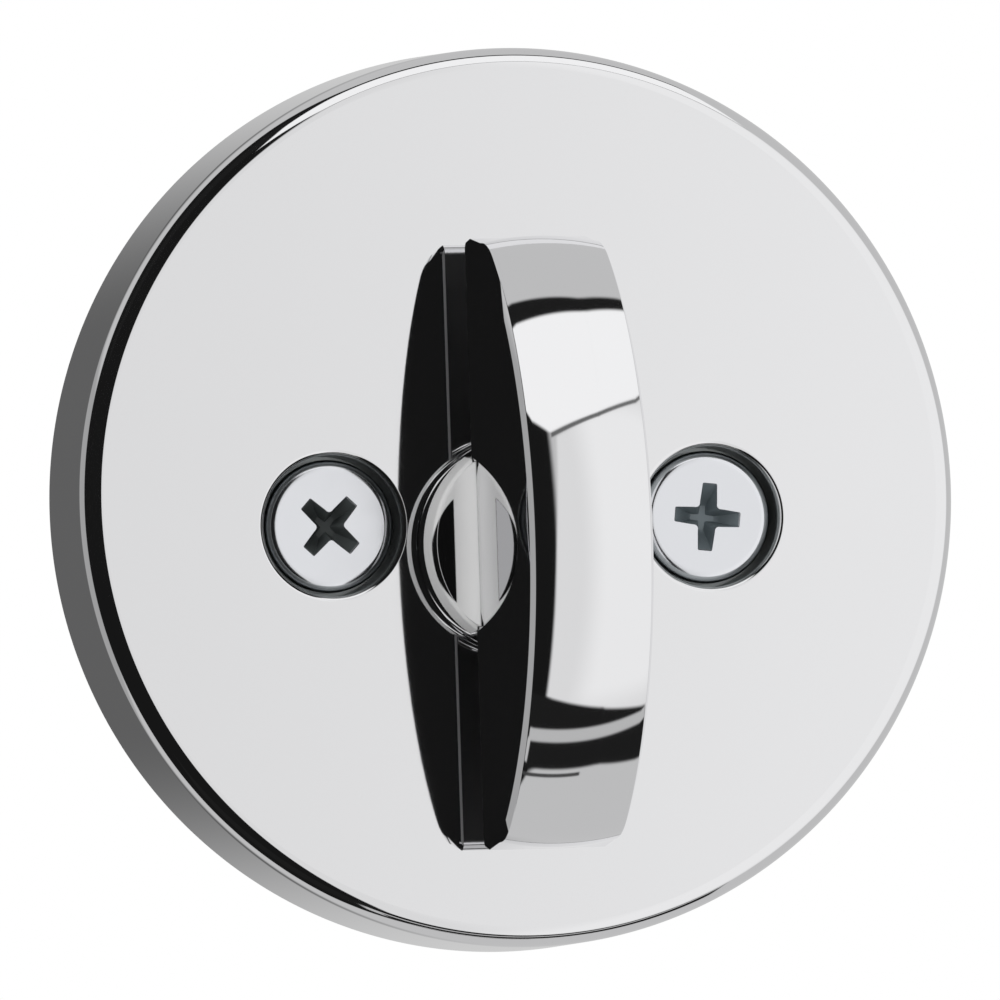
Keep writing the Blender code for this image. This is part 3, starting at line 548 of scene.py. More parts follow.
def slab(name: str, outlines: Sequence[Outline], bottom: float, top: float,
         edge: float = 0.0) -> Object:
    """Cut a flat piece, with its holes, and break its edges.

    Args:
        name: the object's name.
        outlines: the outer outline and the holes.
        bottom: lower height.
        top: upper height.
        edge: width of the broken edge.

    Returns:
        The object.
    """
    curve = bpy.data.curves.new(name, "CURVE")
    curve.dimensions = "2D"
    curve.fill_mode = "BOTH"
    curve.extrude = (top - bottom) / 2
    for outline in outlines:
        spline = curve.splines.new("POLY")
        spline.points.add(len(outline) - 1)
        for spot, (x, y) in zip(spline.points, outline):
            spot.co = (x, y, 0, 1)
        spline.use_cyclic_u = True
    guide = bpy.data.objects.new(name + "_outline", curve)
    bpy.context.scene.collection.objects.link(guide)
    mesh = finished_mesh(guide)
    bpy.data.curves.remove(curve)
    build = bmesh.new()
    build.from_mesh(mesh)
    bpy.data.meshes.remove(mesh)
    bmesh.ops.remove_doubles(build, verts=build.verts, dist=SAME_SPOT)
    bmesh.ops.dissolve_limit(build, angle_limit=FLAT_ENOUGH, verts=build.verts,
                             edges=build.edges, delimit={"NORMAL"})
    bmesh.ops.translate(build, verts=build.verts, vec=(0, 0, (bottom + top) / 2))
    piece = wrap_mesh(name, build)
    if edge:
        bevel = piece.modifiers.new("broken edge", "BEVEL")
        bevel.width, bevel.segments = edge, 2
        bevel.limit_method, bevel.angle_limit = "ANGLE", BROKEN_ABOVE
        bake(piece)
    return piece


def combine(piece: Object, tool: Object, operation: str = "DIFFERENCE") -> None:
    """Cut, join or trim a piece with another, which is used up.

    Args:
        piece: the object that stays.
        tool: the object that is used up.
        operation: DIFFERENCE, UNION or INTERSECT.
    """
    step = piece.modifiers.new(tool.name, "BOOLEAN")
    step.operation, step.solver, step.object = operation, "EXACT", tool
    bake(piece)
    bpy.data.meshes.remove(tool.data)


def gather(name: str, shells: Iterable[Object]) -> Object:
    """Put several shells of one casting into one object, without cutting them.

    Args:
        name: the object's name.
        shells: the objects, which are used up.

    Returns:
        The object that holds them all.
    """
    build = bmesh.new()
    for shell in shells:
        build.from_mesh(shell.data)
        bpy.data.meshes.remove(shell.data)
    return wrap_mesh(name, build, outward=False)


def keep_ends_flat(mesh: bpy.types.Mesh) -> None:
    """Crease the outlines of the faces that lie square to the spindle, so that they shade flat.

    Args:
        mesh: the mesh, stood upright.
    """
    build = bmesh.new()
    build.from_mesh(mesh)
    for edge in build.edges:
        square = [abs(face.normal.y) > SQUARE_ON for face in edge.link_faces]
        if any(square) and not all(square):
            edge.smooth = False
    build.to_mesh(mesh)
    build.free()


def dress(piece: Object, finish: Finish, carrier: Carrier, *nodes: str,
          crease: float = 32.0) -> None:
    """Stand a piece upright, shade it, give it its finish and hang it on its body.

    Args:
        piece: the object, in the flat frame.
        finish: its surface.
        carrier: the body it rides on.
        nodes: the solids that it stands for.
        crease: edges sharper than this angle in degrees stay crisp.
    """
    mesh = piece.data
    mesh.transform(STAND)
    mesh.materials.clear()
    mesh.materials.append(finish.material())
    mesh.shade_smooth()
    mesh.set_sharp_from_angle(angle=math.radians(crease))
    keep_ends_flat(mesh)
    weigh = piece.modifiers.new("flat faces lead", "WEIGHTED_NORMAL")
    weigh.mode, weigh.weight, weigh.keep_sharp = "FACE_AREA", 50, True
    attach(piece, carrier.value)
    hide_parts(*nodes)
    log.info("%s rides on %s and stands for %s", piece.name, carrier.value, ", ".join(nodes))


# Pieces


@dataclass
class Rose:
    """The cast cover: a flat polished face, a rounded shoulder, a side wall and a hollow back."""

    radius: float = 0.0333
    depth: float = 0.0105
    draft: float = 0.00015
    shoulder: float = 0.0015
    wall: float = 0.0016
    face_wall: float = 0.0020
    rear_chamfer: float = 0.0003
    inner_fillet: float = 0.0010
    rib_wall: float = 0.0012
    rib_depth: float = 0.0032
    hub_boss: float = 0.0090
    hub_boss_depth: float = 0.0015
    hub_bore: float = 0.0070
    pocket_radius: float = 0.0052
    pocket_edge: float = 0.0004
    pocket_wall: float = 0.0012
    pocket_seat: float = 0.0070
    pocket_floor: float = 0.0018
    spacer_radius: float = 0.0041
    shank_hole: float = 0.0027
    stub_radius: float = 0.0030
    pilot_radius: float = 0.00155
    pilot_top: float = 0.0066
    stand_off: float = 0.0021
    overrun: float = 0.0010
    facets: int = 384

    @property
    def ceiling(self) -> float:
        """Height of the inside of the face."""
        return self.depth - self.face_wall

    def profile(self) -> Outline:
        """The cover's profile, from the edge of the face round to the edge of the ceiling.

        Returns:
            The points.
        """
        inner, fillet, chamfer = self.radius - self.wall, self.inner_fillet, self.rear_chamfer
        outside = arc(self.radius - self.draft - self.shoulder, self.depth - self.shoulder,
                      self.shoulder, QUARTER, 0, 16)
        inside = arc(inner - fillet, self.ceiling - fillet, fillet, 0, QUARTER, 6)
        rim = soften([(self.radius, self.depth / 2), (self.radius, chamfer),
                      (self.radius - chamfer, 0), (inner, 0), (inner, self.depth / 3)],
                     chamfer / 3, 2)
        return outside + rim[1:-1] + inside

    def wall_distance(self, turn: float) -> float:
        """Distance from the spindle to the middle of the side wall, at an angle in radians."""
        across, reach = ROSE_RISE * math.cos(turn), self.radius - self.wall / 2
        return ROSE_RISE * math.sin(turn) + math.sqrt(reach * reach - across * across)

    def add_bosses(self, cover: Object) -> None:
        """Join the hub boss, pocket tubes, spacers, screw stubs and ribs to the hollow back.

        Args:
            cover: the cover.
        """
        root = self.ceiling + self.overrun
        boss = [(self.hub_boss, root), (self.hub_boss, self.ceiling - self.hub_boss_depth)]
        combine(cover, lathe("boss", boss, 72), "UNION")
        outer, foot = self.pocket_radius + self.pocket_wall, self.pocket_seat - self.pocket_floor
        for place in SCREWS.values():
            tube = [(outer, root), (outer, foot), (self.spacer_radius, foot),
                    (self.spacer_radius, self.stand_off)]
            combine(cover, lathe("tube", tube, 64, place), "UNION")
        for x, y in SMALL_SCREWS.values():
            stub = [(self.stub_radius, root), (self.stub_radius, self.stand_off)]
            combine(cover, lathe("stub", stub, 40, (x, y)), "UNION")
            turn = math.atan2(y, x)
            start, end = self.hub_bore + self.overrun, self.wall_distance(turn)
            rib = bar(start, end, self.rib_wall / 2, turn)
            combine(cover, slab("rib", [rib], self.ceiling - self.rib_depth, root), "UNION")

    def open_bores(self, cover: Object) -> None:
        """Cut the hub bore, the screw pockets and the small screws' pilot holes.

        Args:
            cover: the cover.
        """
        above, below = self.depth + self.overrun, self.ceiling - self.hub_boss_depth - self.overrun
        combine(cover, lathe("bore", [(self.hub_bore, above), (self.hub_bore, below)], 96))
        mouth, low = self.pocket_radius + self.pocket_edge, self.stand_off - self.overrun
        rim = arc(mouth, self.depth - self.pocket_edge, self.pocket_edge, QUARTER, math.pi, 8)
        pocket = [(mouth, above), *rim, (self.pocket_radius, self.pocket_seat),
                  (self.shank_hole, self.pocket_seat), (self.shank_hole, low)]
        for place in SCREWS.values():
            combine(cover, lathe("pocket", pocket, 128, place))
        for place in SMALL_SCREWS.values():
            pilot = [(self.pilot_radius, self.pilot_top), (self.pilot_radius, low)]
            combine(cover, lathe("pilot", pilot, 32, place))

    def build(self) -> None:
        """Make the cover."""
        cover = lathe("rose_cover", self.profile(), self.facets, (0, ROSE_RISE))
        self.add_bosses(cover)
        self.open_bores(cover)
        dress(cover, ROSE_CHROME, Carrier.ROSE, "rose")


@dataclass
class ThumbTurn:
    """The casting that fingers turn: a half-moon grip, a round collar and a stem."""

    face: float = 0.0105
    reach: float = 0.0209
    length: float = 0.0449
    width: float = 0.0093
    gap: float = 0.0034
    end_radius: float = 0.0060
    end_rise: float = 0.0072
    back_corner: float = 0.0008
    back_edge: float = 0.0003
    crown: float = 0.0210
    crown_steps: int = 24
    chamfer_width: float = 0.00030
    chamfer_depth: float = 0.00056
    chamfer_soft: float = 0.00006
    collar_radius: float = 0.0079
    collar_foot: float = 0.00805
    collar_foot_rise: float = 0.0014
    collar_height: float = 0.0042
    collar_edge: float = 0.0004
    collar_fillet: float = 0.0015
    root_fillet: float = 0.0008
    fit: float = 0.0003
    journal: float = 0.0056
    square: float = 0.0090
    square_corner: float = 0.0054
    square_top: float = 0.0052
    square_bottom: float = 0.0021
    groove_radius: float = 0.0039
    groove_top: float = -0.0020
    groove_bottom: float = -0.0034
    tail: float = 0.0073
    tip_chamfer: float = 0.0005
    stem_soft: float = 0.00012
    slot_width: float = 0.0056
    slot_thickness: float = 0.0026
    slot_top: float = 0.0080
    pin_hole: float = 0.0013
    web_columns: int = 28
    web_share: float = 0.6
    facets: int = 192

    def grip_outline(self, inset: float, back_inset: float) -> Outline:
        """The half-moon's side view, drawn in by an amount, as (up, height) points.

        Args:
            inset: how far the front and the ends are drawn in.
            back_inset: how far the flat back is drawn in.

        Returns:
            The points, always the same number.
        """
        top, end, corner = self.face + self.reach, self.length / 2, self.back_corner
        up, blend = end - self.end_radius, self.face + self.end_rise
        drop = top - blend
        radius = (up ** 2 + drop ** 2 - self.end_radius ** 2) / 2 / (drop - self.end_radius)
        centre = top - radius
        meet = math.atan2(blend - centre, up)
        half = arc(end - corner, self.face + self.gap + corner, corner - back_inset, -QUARTER, 0, 8)
        half += arc(up, blend, self.end_radius - inset, 0, meet, 18)
        front = arc(0, centre, radius - inset, meet, math.pi - meet, 110)
        return half + front[1:-1] + mirrored(half)

    def rim_section(self) -> Outline:
        """The outer rim's section across its width, as (across, depth below the crown) points.

        Returns:
            The points, from the left side to the right.
        """
        half, wide = self.width / 2, self.chamfer_width
        inner = half - wide
        edge = self.crown - math.sqrt(self.crown ** 2 - inner ** 2) + self.chamfer_depth
        lean = math.asin(inner / self.crown)
        turns = [lean * (2 * step / self.crown_steps - 1) for step in range(self.crown_steps + 1)]
        crown = [(self.crown * math.sin(turn), self.crown - self.crown * math.cos(turn))
                 for turn in turns]
        return soften([(-half, edge + 2 * wide), (-half, edge), *crown, (half, edge),
                       (half, edge + 2 * wide)], self.chamfer_soft, 5)

    def grip(self) -> Object:
        """The half-moon as one loft across its width, with a crowned and chamfered rim.

        Returns:
            The grip as a shell of its own.
        """
        rings, edge = [], self.back_edge
        for x, inset in self.rim_section():
            from_side = min(max(self.width / 2 - abs(x), 0.0), edge)
            back_inset = edge - math.sqrt(edge ** 2 - (edge - from_side) ** 2)
            rings.append([(x, up, height) for up, height in self.grip_outline(inset, back_inset)])
        return loft("grip", rings)

    def stem(self) -> Object:
        """The collar, journal, square and grooved tail, with the blade's slot and the pin's hole.

        Returns:
            The stem as a shell of its own.
        """
        top, bottom = self.face + self.collar_height, self.face + self.fit
        tail, edge = self.square / 2, self.collar_edge
        rim = arc(self.collar_radius - edge, top - edge, edge, QUARTER, 0, 8)
        turned = soften([
            (self.collar_radius, top - edge), (self.collar_foot, bottom + self.collar_foot_rise),
            (self.collar_foot, bottom), (self.journal, bottom), (self.journal, self.square_top),
            (tail, self.square_top), (tail, self.groove_top), (self.groove_radius, self.groove_top),
            (self.groove_radius, self.groove_bottom), (tail, self.groove_bottom),
            (tail, self.tip_chamfer - self.tail), (tail - self.tip_chamfer, -self.tail),
            (0, -self.tail)], self.stem_soft, 3)
        stem = lathe("stem", rim + turned[1:-1], self.facets)
        combine(stem, slab("square", [self.square_outline()], self.square_bottom,
                           self.square_top + self.fit), "UNION")
        mouth = bar(-self.slot_thickness / 2, self.slot_thickness / 2, self.slot_width / 2)
        combine(stem, slab("slot", [mouth], -self.tail - self.gap, self.slot_top))
        hole = lathe("hole", [(self.pin_hole, self.square), (self.pin_hole, -self.square)], 32)
        hole.data.transform(Matrix.Translation((0, 0, PIN_HEIGHT)) @ ALONG_X)
        combine(stem, hole)
        return stem

    def square_outline(self) -> Outline:
        """The stem's square with its corners turned off.

        Returns:
            The points.
        """
        lean = math.acos(self.square / 2 / self.square_corner)
        points: Outline = []
        for quarter in range(4):
            turn = quarter * QUARTER
            points += arc(0, 0, self.square_corner, turn + lean, turn + QUARTER - lean, 6)
        return points

    def fillet_web(self, side: int) -> Object:
        """The hollow blend between the collar's top and one side of the grip.

        Args:
            side: -1 for the left side and 1 for the right.

        Returns:
            The blend as a shell of its own.
        """
        reach, r = self.width / 2, self.collar_fillet
        top = self.face + self.collar_height
        limit = self.collar_radius - self.collar_edge * self.web_share
        build = bmesh.new()
        strips: list[list[bmesh.types.BMVert]] = []
        for x, height in arc(reach + r, top + r, r, math.pi, math.pi * 3 / 2, 14):
            half = math.sqrt(max(limit ** 2 - x ** 2, 0))
            strips.append([
                build.verts.new((side * x, half * (2 * k / self.web_columns - 1), height))
                for k in range(self.web_columns + 1)])
        floor = [build.verts.new((vert.co.x, vert.co.y, top - self.collar_edge / 2))
                 for strip in strips for vert in (strip[0], strip[-1])]
        pairs = list(zip(strips, strips[1:]))
        for before, after in pairs:
            for k in range(len(before) - 1):
                build.faces.new((before[k], before[k + 1], after[k + 1], after[k]))
        for index, (before, after) in enumerate(pairs):
            for edge in (0, 1):
                low, high = floor[2 * index + edge], floor[2 * index + 2 + edge]
                build.faces.new((before[-edge], after[-edge], high, low))
        return wrap_mesh(f"web_{side}", build)

    def root_flare(self) -> Object:
        """The small hollow blend between the grip's back edge and the collar's wall.

        Returns:
            The blend as a shell of its own.
        """
        back, r = self.face + self.gap, self.root_fillet
        reach = self.collar_radius + r
        curve = arc(reach, back - r, r, QUARTER, math.pi, 8)
        flare = lathe("flare", [(reach, back + r), *curve], self.facets)
        half = self.width / 2 - self.back_edge
        block = slab("block", [bar(-half, half, self.length / 2)], back - 2 * r, back + 2 * r)
        combine(flare, block, "INTERSECT")
        return flare

    def build(self) -> None:
        """Make the casting."""
        shells = [self.grip(), self.stem(), self.fillet_web(-1), self.fillet_web(1),
                  self.root_flare()]
        dress(gather("thumb_turn_casting", shells), TURN_CHROME, Carrier.TURN, "thumb_turn")


@dataclass
class MountingScrew:
    """A long machine screw with a cross recess, sunk in its pocket."""

    side: str
    head_top: float = 0.0096
    head_depth: float = 0.0023
    head_radius: float = 0.0049
    head_edge: float = 0.0008
    head_soft: float = 0.00015
    shank: float = 0.0024
    length: float = 0.0540
    tip: float = 0.0016
    tip_radius: float = 0.0012
    pitch: float = 0.00106
    thread_depth: float = 0.00042
    thread_length: float = 0.0360
    thread_facets: int = 36
    thread_rows: int = 8
    tooth_slope: float = 1.35
    tooth_shift: float = 0.1
    point_share: float = 0.8
    neck_share: float = 0.9
    span: float = 0.0050
    root_span: float = 0.0022
    wing: float = 0.0011
    wing_root: float = 0.0013
    fillet: float = 0.0004
    lead_in: float = 0.0001
    corner_share: float = 0.35
    bend_share: float = 0.97
    bend_steps: int = 6
    recess_rise: float = 0.0004
    recess_depth: float = 0.0017
    floor_start: float = 0.85
    floor_share: float = 0.8
    facets: int = 128

    def thread_radius(self, turn: float, height: float, end: float) -> float:
        """Radius of the threaded shank at an angle and a height.

        Args:
            turn: angle in radians.
            height: height out of the door.
            end: height of the screw's end.

        Returns:
            The radius.
        """
        way = (height - end) / self.pitch - turn / math.tau
        tooth = abs(2 * (way - math.floor(way)) - 1)
        crest = min(1.0, max(0.0, self.tooth_slope * tooth - self.tooth_shift))
        fade_in = min(1.0, max(0.0, (height - end) / self.tip))
        run_out = end + self.tip + self.thread_length
        fade_out = min(1.0, max(0.0, (run_out - height) / (2 * self.pitch)))
        depth = self.thread_depth * (1 - crest) * fade_out
        body = self.tip_radius + (self.shank - self.tip_radius) * fade_in
        return max(body - depth, self.tip_radius * self.point_share)

    def shaft(self) -> Object:
        """The shank with its helical thread.

        Returns:
            The shank as a shell of its own.
        """
        seat, long = self.head_top - self.head_depth, self.tip + self.thread_length
        end = seat - self.length
        rows = int(long / self.pitch * self.thread_rows)
        heights = [end + long * row / rows for row in range(rows + 1)] + [seat + self.tip / 4]
        turns = [math.tau * step / self.thread_facets for step in range(self.thread_facets)]
        return loft("shaft", [[(self.thread_radius(t, height, end) * math.cos(t),
                                self.thread_radius(t, height, end) * math.sin(t), height)
                               for t in turns] for height in heights])

    def cross(self) -> Object:
        """The recess tool: four tapering wings with rounded inner corners.

        Returns:
            The tool.
        """
        reach, tip, root = self.span / 2, self.wing / 2, self.wing_root / 2
        inner, cut = root + self.fillet, self.fillet * self.corner_share / 2
        quarter = [(reach, -tip + cut), (reach, tip - cut), (reach - cut, tip),
                   (inner + self.lead_in, root)]
        for t in (step / self.bend_steps for step in range(1, self.bend_steps)):
            first, last = (1 - t) ** 2, t ** 2
            corner = 2 * root * self.bend_share * t * (1 - t)
            quarter.append((inner * first + corner + root * last,
                            root * first + corner + inner * last))
        quarter += [(root, inner + self.lead_in), (tip, reach - cut)]
        points: Outline = []
        for _ in range(4):
            points += quarter
            quarter = [(-y, x) for x, y in quarter]
        taper = (self.span - self.root_span) / self.recess_depth / self.span
        rings = []
        for drop, share in ((-self.recess_rise, 1), (0, 1),
                            (self.recess_depth * self.floor_start, 1),
                            (self.recess_depth, self.floor_share)):
            scale = (1 - taper * drop) * share
            rings.append([(x * scale, y * scale, self.head_top - drop) for x, y in points])
        tool = loft("cross", rings)
        tool.data.transform(Matrix.Rotation(math.radians(SCREW_TURNS[self.side]), 4, "Z"))
        return tool

    def build(self) -> None:
        """Make the screw, its recess and its thread, and set it in its pocket."""
        edge, seat = self.head_edge, self.head_top - self.head_depth
        rim = arc(self.head_radius - edge, self.head_top - edge, edge, QUARTER, 0, 12)
        under = soften([(self.head_radius, self.head_top - edge), (self.head_radius, seat),
                        (self.shank * self.neck_share, seat)], self.head_soft, 3)
        head = lathe("head", rim + under[1:], self.facets)
        combine(head, self.cross())
        screw = gather(f"mounting_screw_{self.side}", [head, self.shaft()])
        screw.data.transform(Matrix.Translation((*SCREWS[self.side], 0)))
        dress(screw, SCREW_CHROME, Carrier.ROSE, f"screw_{self.side}", crease=28)


@dataclass
class BackingPlate:
    """The stamped plate in the rose's back, with the small screws that hold it."""

    posts: Sequence[Point]
    radius: float = 0.0314
    rear: float = 0.0003
    front: float = 0.0018
    edge: float = 0.0001
    hub_hole: float = 0.0048
    screw_hole: float = 0.0027
    post_hole: float = 0.0011
    window_inner: float = 0.01650
    window_outer: float = 0.0240
    window_corner: float = 0.0010
    window_turns: tuple[float, ...] = (45, 135, 270)
    window_spread: float = 20
    head_radius: float = 0.0023
    shank_radius: float = 0.00125
    small_length: float = 0.0060
    small_slot: float = 0.0006
    small_slot_depth: float = 0.0005
    fit: float = 0.0003
    overrun: float = 0.0010

    def outlines(self) -> list[Outline]:
        """The plate's outline and holes about the rose's centre.

        Returns:
            The outlines.
        """
        shapes = [circle(0, 0, self.radius, 192), circle(0, -ROSE_RISE, self.hub_hole, 64)]
        shapes += [circle(x, y - ROSE_RISE, self.screw_hole, 40) for x, y in SCREWS.values()]
        shapes += [circle(x, y - ROSE_RISE, self.post_hole, 24) for x, y in self.posts]
        spread = math.radians(self.window_spread)
        for turn in map(math.radians, self.window_turns):
            window = arc(0, 0, self.window_outer, turn - spread, turn + spread, 24)
            window += arc(0, 0, self.window_inner, turn + spread, turn - spread, 24)
            shapes.append(soften(window, self.window_corner, 6, closed=True))
        return shapes

    def build_plate(self) -> None:
        """Make the plate."""
        plate = slab("stamped_plate", self.outlines(), self.rear, self.front, self.edge)
        plate.data.transform(Matrix.Translation((0, ROSE_RISE, 0)))
        shank, head = self.shank_radius + self.fit, self.head_radius + self.fit
        sink = [(shank, self.front + self.overrun), (shank, self.rear + head - shank),
                (head, self.rear), (head, self.rear - self.overrun)]
        for place in SMALL_SCREWS.values():
            combine(plate, lathe("sink", sink, 48, place))
        dress(plate, ZINC_PLATE, Carrier.ROSE, "backing_plate")

    def build_small_screw(self, side: str) -> None:
        """Make one of the small countersunk screws.

        Args:
            side: where it sits.
        """
        profile = soften([(self.shank_radius, self.rear + self.small_length),
                          (self.shank_radius, self.rear + self.head_radius - self.shank_radius),
                          (self.head_radius, self.rear + self.edge), (self.head_radius, self.rear)],
                         self.edge, 2)
        screw = lathe("small_screw_" + side, profile, 48)
        reach, turn = self.head_radius + self.fit, math.radians(SMALL_SCREW_TURNS[side])
        combine(screw, slab("slot", [bar(-reach, reach, self.small_slot / 2, turn)],
                            self.rear - self.overrun, self.rear + self.small_slot_depth))
        screw.data.transform(Matrix.Translation((*SMALL_SCREWS[side], 0)))
        dress(screw, ZINC_SCREW, Carrier.ROSE, "plate_screw_" + side)


@dataclass
class HubBearing:
    """The flanged bushing that the turn's journal runs in."""

    bore: float = 0.0059
    radius: float = 0.0067
    flange: float = 0.00775
    top: float = 0.0102
    flange_top: float = 0.0067
    flange_bottom: float = 0.0052
    lead: float = 0.0003
    facets: int = 128

    def build(self) -> None:
        """Make the bushing."""
        profile = soften([
            (self.bore, self.top), (self.radius, self.top), (self.radius, self.flange_top),
            (self.flange, self.flange_top), (self.flange, self.flange_bottom),
            (self.bore, self.flange_bottom)], self.lead, 4, closed=True)
        bushing = lathe("flanged_bushing", profile, self.facets, closed=True)
        dress(bushing, ACETAL, Carrier.ROSE, "hub_bushing")


@dataclass
class Detent:
    """The click mechanism: a notched cam on the square, two leaf springs and their four posts."""

    cam_radius: float = 0.0090
    cam_bottom: float = 0.0021
    cam_top: float = 0.0049
    cam_edge: float = 0.00012
    notch_radius: float = 0.0014
    notch_depth: float = 0.0006
    notch_soft: float = 0.00025
    fit: float = 0.0003
    strip: float = 0.0005
    strip_edge: float = 0.00005
    spring_bottom: float = 0.0025
    spring_top: float = 0.0045
    spring_line: float = 0.01065
    bump: float = 0.0011
    bump_length: float = 0.0044
    bump_steps: int = 20
    eye_radius: float = 0.00175
    eye_turns: tuple[float, float] = (-20, 270)
    post_spread: float = 0.0088
    post_rise: float = 0.0124
    post_radius: float = 0.0012
    post_cap_radius: float = 0.0019
    post_cap: float = 0.0005
    post_tail: float = 0.0008
    post_soft: float = 0.00022
    rivet_radius: float = 0.0014
    rivet: float = 0.0005
    plate_front: float = 0.0018

    def post_places(self) -> list[Point]:
        """The posts' places, two above the spindle and two below it."""
        return [(x * self.post_spread, y * self.post_rise) for y in (1, -1) for x in (-1, 1)]

    def cam_outline(self) -> Outline:
        """The cam's rim with its four rounded notches.

        Returns:
            The points.
        """
        rim, notch = self.cam_radius, self.notch_radius
        away = rim + notch - self.notch_depth
        mouth = math.acos((rim ** 2 + away ** 2 - notch ** 2) / 2 / rim / away)
        spread = math.asin(rim * math.sin(mouth) / notch)
        points: Outline = []
        for turn in (quarter * QUARTER for quarter in range(4)):
            points += arc(away * math.cos(turn), away * math.sin(turn), notch,
                          turn + math.pi + spread, turn + math.pi - spread, 10)
            points += arc(0, 0, rim, turn + mouth, turn + QUARTER - mouth, 24)[1:-1]
        return soften(points, self.notch_soft, 3, closed=True)

    def spring_outline(self, side: int) -> Outline:
        """A leaf spring's outline: an eye round each post and a bump that rides the cam.

        Args:
            side: 1 above the spindle and -1 below it.

        Returns:
            The outline.
        """
        start, end = map(math.radians, self.eye_turns)
        eye = arc(-self.post_spread, self.post_rise, self.eye_radius, start, end, 28)
        shares = [step / self.bump_steps for step in range(self.bump_steps + 1)]
        bump = [(self.bump_length * (share - 1 / 2),
                 self.spring_line - self.bump * (1 - math.cos(math.tau * share)) / 2)
                for share in shares]
        path = eye + bump + mirrored(eye)
        left, right = [], []
        for index, (x, y) in enumerate(path):
            ax, ay = path[max(index - 1, 0)]
            bx, by = path[min(index + 1, len(path) - 1)]
            run = math.hypot(bx - ax, by - ay)
            nx, ny = -(by - ay) / run * self.strip / 2, (bx - ax) / run * self.strip / 2
            left.append((x + nx, y + ny))
            right.append((x - nx, y - ny))
        return [(x, side * y) for x, y in left + right[::-1]]

    def build_cam(self, square: Outline) -> None:
        """Make the cam round the outline of its square bore."""
        cam = slab("notched_cam", [self.cam_outline(), square], self.cam_bottom, self.cam_top,
                   self.cam_edge)
        dress(cam, SINTERED, Carrier.TURN, "detent_cam")

    def build_spring(self, name: str, side: int) -> None:
        """Make a leaf spring, on side 1 above the spindle or -1 below it."""
        leaf = slab("leaf_" + name, [self.spring_outline(side)], self.spring_bottom,
                    self.spring_top, self.strip_edge)
        dress(leaf, SPRING_STEEL, Carrier.ROSE, "detent_spring_" + name)

    def build_post(self, number: int, place: Point) -> None:
        """Make the rivet that carries one end of a spring.

        Args:
            number: its number, from 1.
            place: its place.
        """
        cap, foot = self.spring_top + self.fit, self.plate_front + self.fit
        head = cap + self.post_cap
        profile = soften([
            (0, head), (self.post_cap_radius, head), (self.post_cap_radius, cap),
            (self.post_radius, cap), (self.post_radius, foot), (self.post_tail, foot),
            (self.post_tail, 0), (self.rivet_radius, 0), (self.rivet_radius, -self.rivet),
            (0, -self.rivet)], self.post_soft, 4)
        post = lathe(f"post_{number}", profile[1:-1], 48, place)
        dress(post, RIVET_STEEL, Carrier.ROSE, f"spring_post_{number}")


@dataclass
class RearStack:
    """What keeps the turn in the rose: a thrust washer, a wave washer and a clip."""

    bore: float = 0.0048
    thrust_radius: float = 0.0078
    thrust_thickness: float = 0.0008
    thrust_soft: float = 0.0002
    wave_radius: float = 0.0072
    wave_middle: float = -0.00155
    wave_thickness: float = 0.0003
    wave_rise: float = 0.0006
    wave_soft: float = 0.00006
    waves: int = 3
    clip_radius: float = 0.0068
    clip_grip: float = 0.0042
    clip_relief: float = 0.0053
    clip_top: float = -0.0023
    clip_bottom: float = -0.0031
    clip_soft: float = 0.00022
    lower_prong: tuple[float, float] = (-38, -18)
    side_relief: tuple[float, float] = (-10, 68)
    upper_prong: tuple[float, float] = (76, 104)

    def build_thrust_washer(self) -> None:
        """Make the plastic washer."""
        profile = soften([(self.thrust_radius, 0), (self.thrust_radius, -self.thrust_thickness),
                          (self.bore, -self.thrust_thickness), (self.bore, 0)],
                         self.thrust_soft, 3, closed=True)
        dress(lathe("thrust_ring", profile, 96, closed=True), NYLON, Carrier.ROSE, "thrust_washer")

    def build_wave_washer(self) -> None:
        """Make the spring washer."""
        half = self.wave_thickness / 2
        profile = soften([(self.wave_radius, half), (self.wave_radius, -half), (self.bore, -half),
                          (self.bore, half)], self.wave_soft, 2, closed=True)
        washer = lathe("waved_ring", profile, 120, closed=True)
        for vertex in washer.data.vertices:
            turn = math.atan2(vertex.co.y, vertex.co.x)
            vertex.co.z += self.wave_middle + self.wave_rise / 2 * math.cos(self.waves * turn)
        dress(washer, SPRING_STEEL, Carrier.ROSE, "wave_washer")

    def build_clip(self) -> None:
        """Make the clip, an open ring with three prongs."""
        lower, relief, upper = (tuple(map(math.radians, span)) for span in
                                (self.lower_prong, self.side_relief, self.upper_prong))
        start = -math.acos(self.clip_grip * math.cos(lower[0]) / self.clip_radius)
        outside = arc(0, 0, self.clip_radius, start, math.pi - start, 72)
        right = arc(0, 0, self.clip_grip, *lower, 6) + arc(0, 0, self.clip_relief, *relief, 20)
        inside = right + arc(0, 0, self.clip_grip, *upper, 8) + mirrored(right)
        outline = soften(outside + inside[::-1], self.clip_soft, 3, closed=True)
        clip = slab("clip", [outline], self.clip_bottom, self.clip_top, self.wave_soft)
        dress(clip, SPRING_STEEL, Carrier.TURN, "retaining_ring")


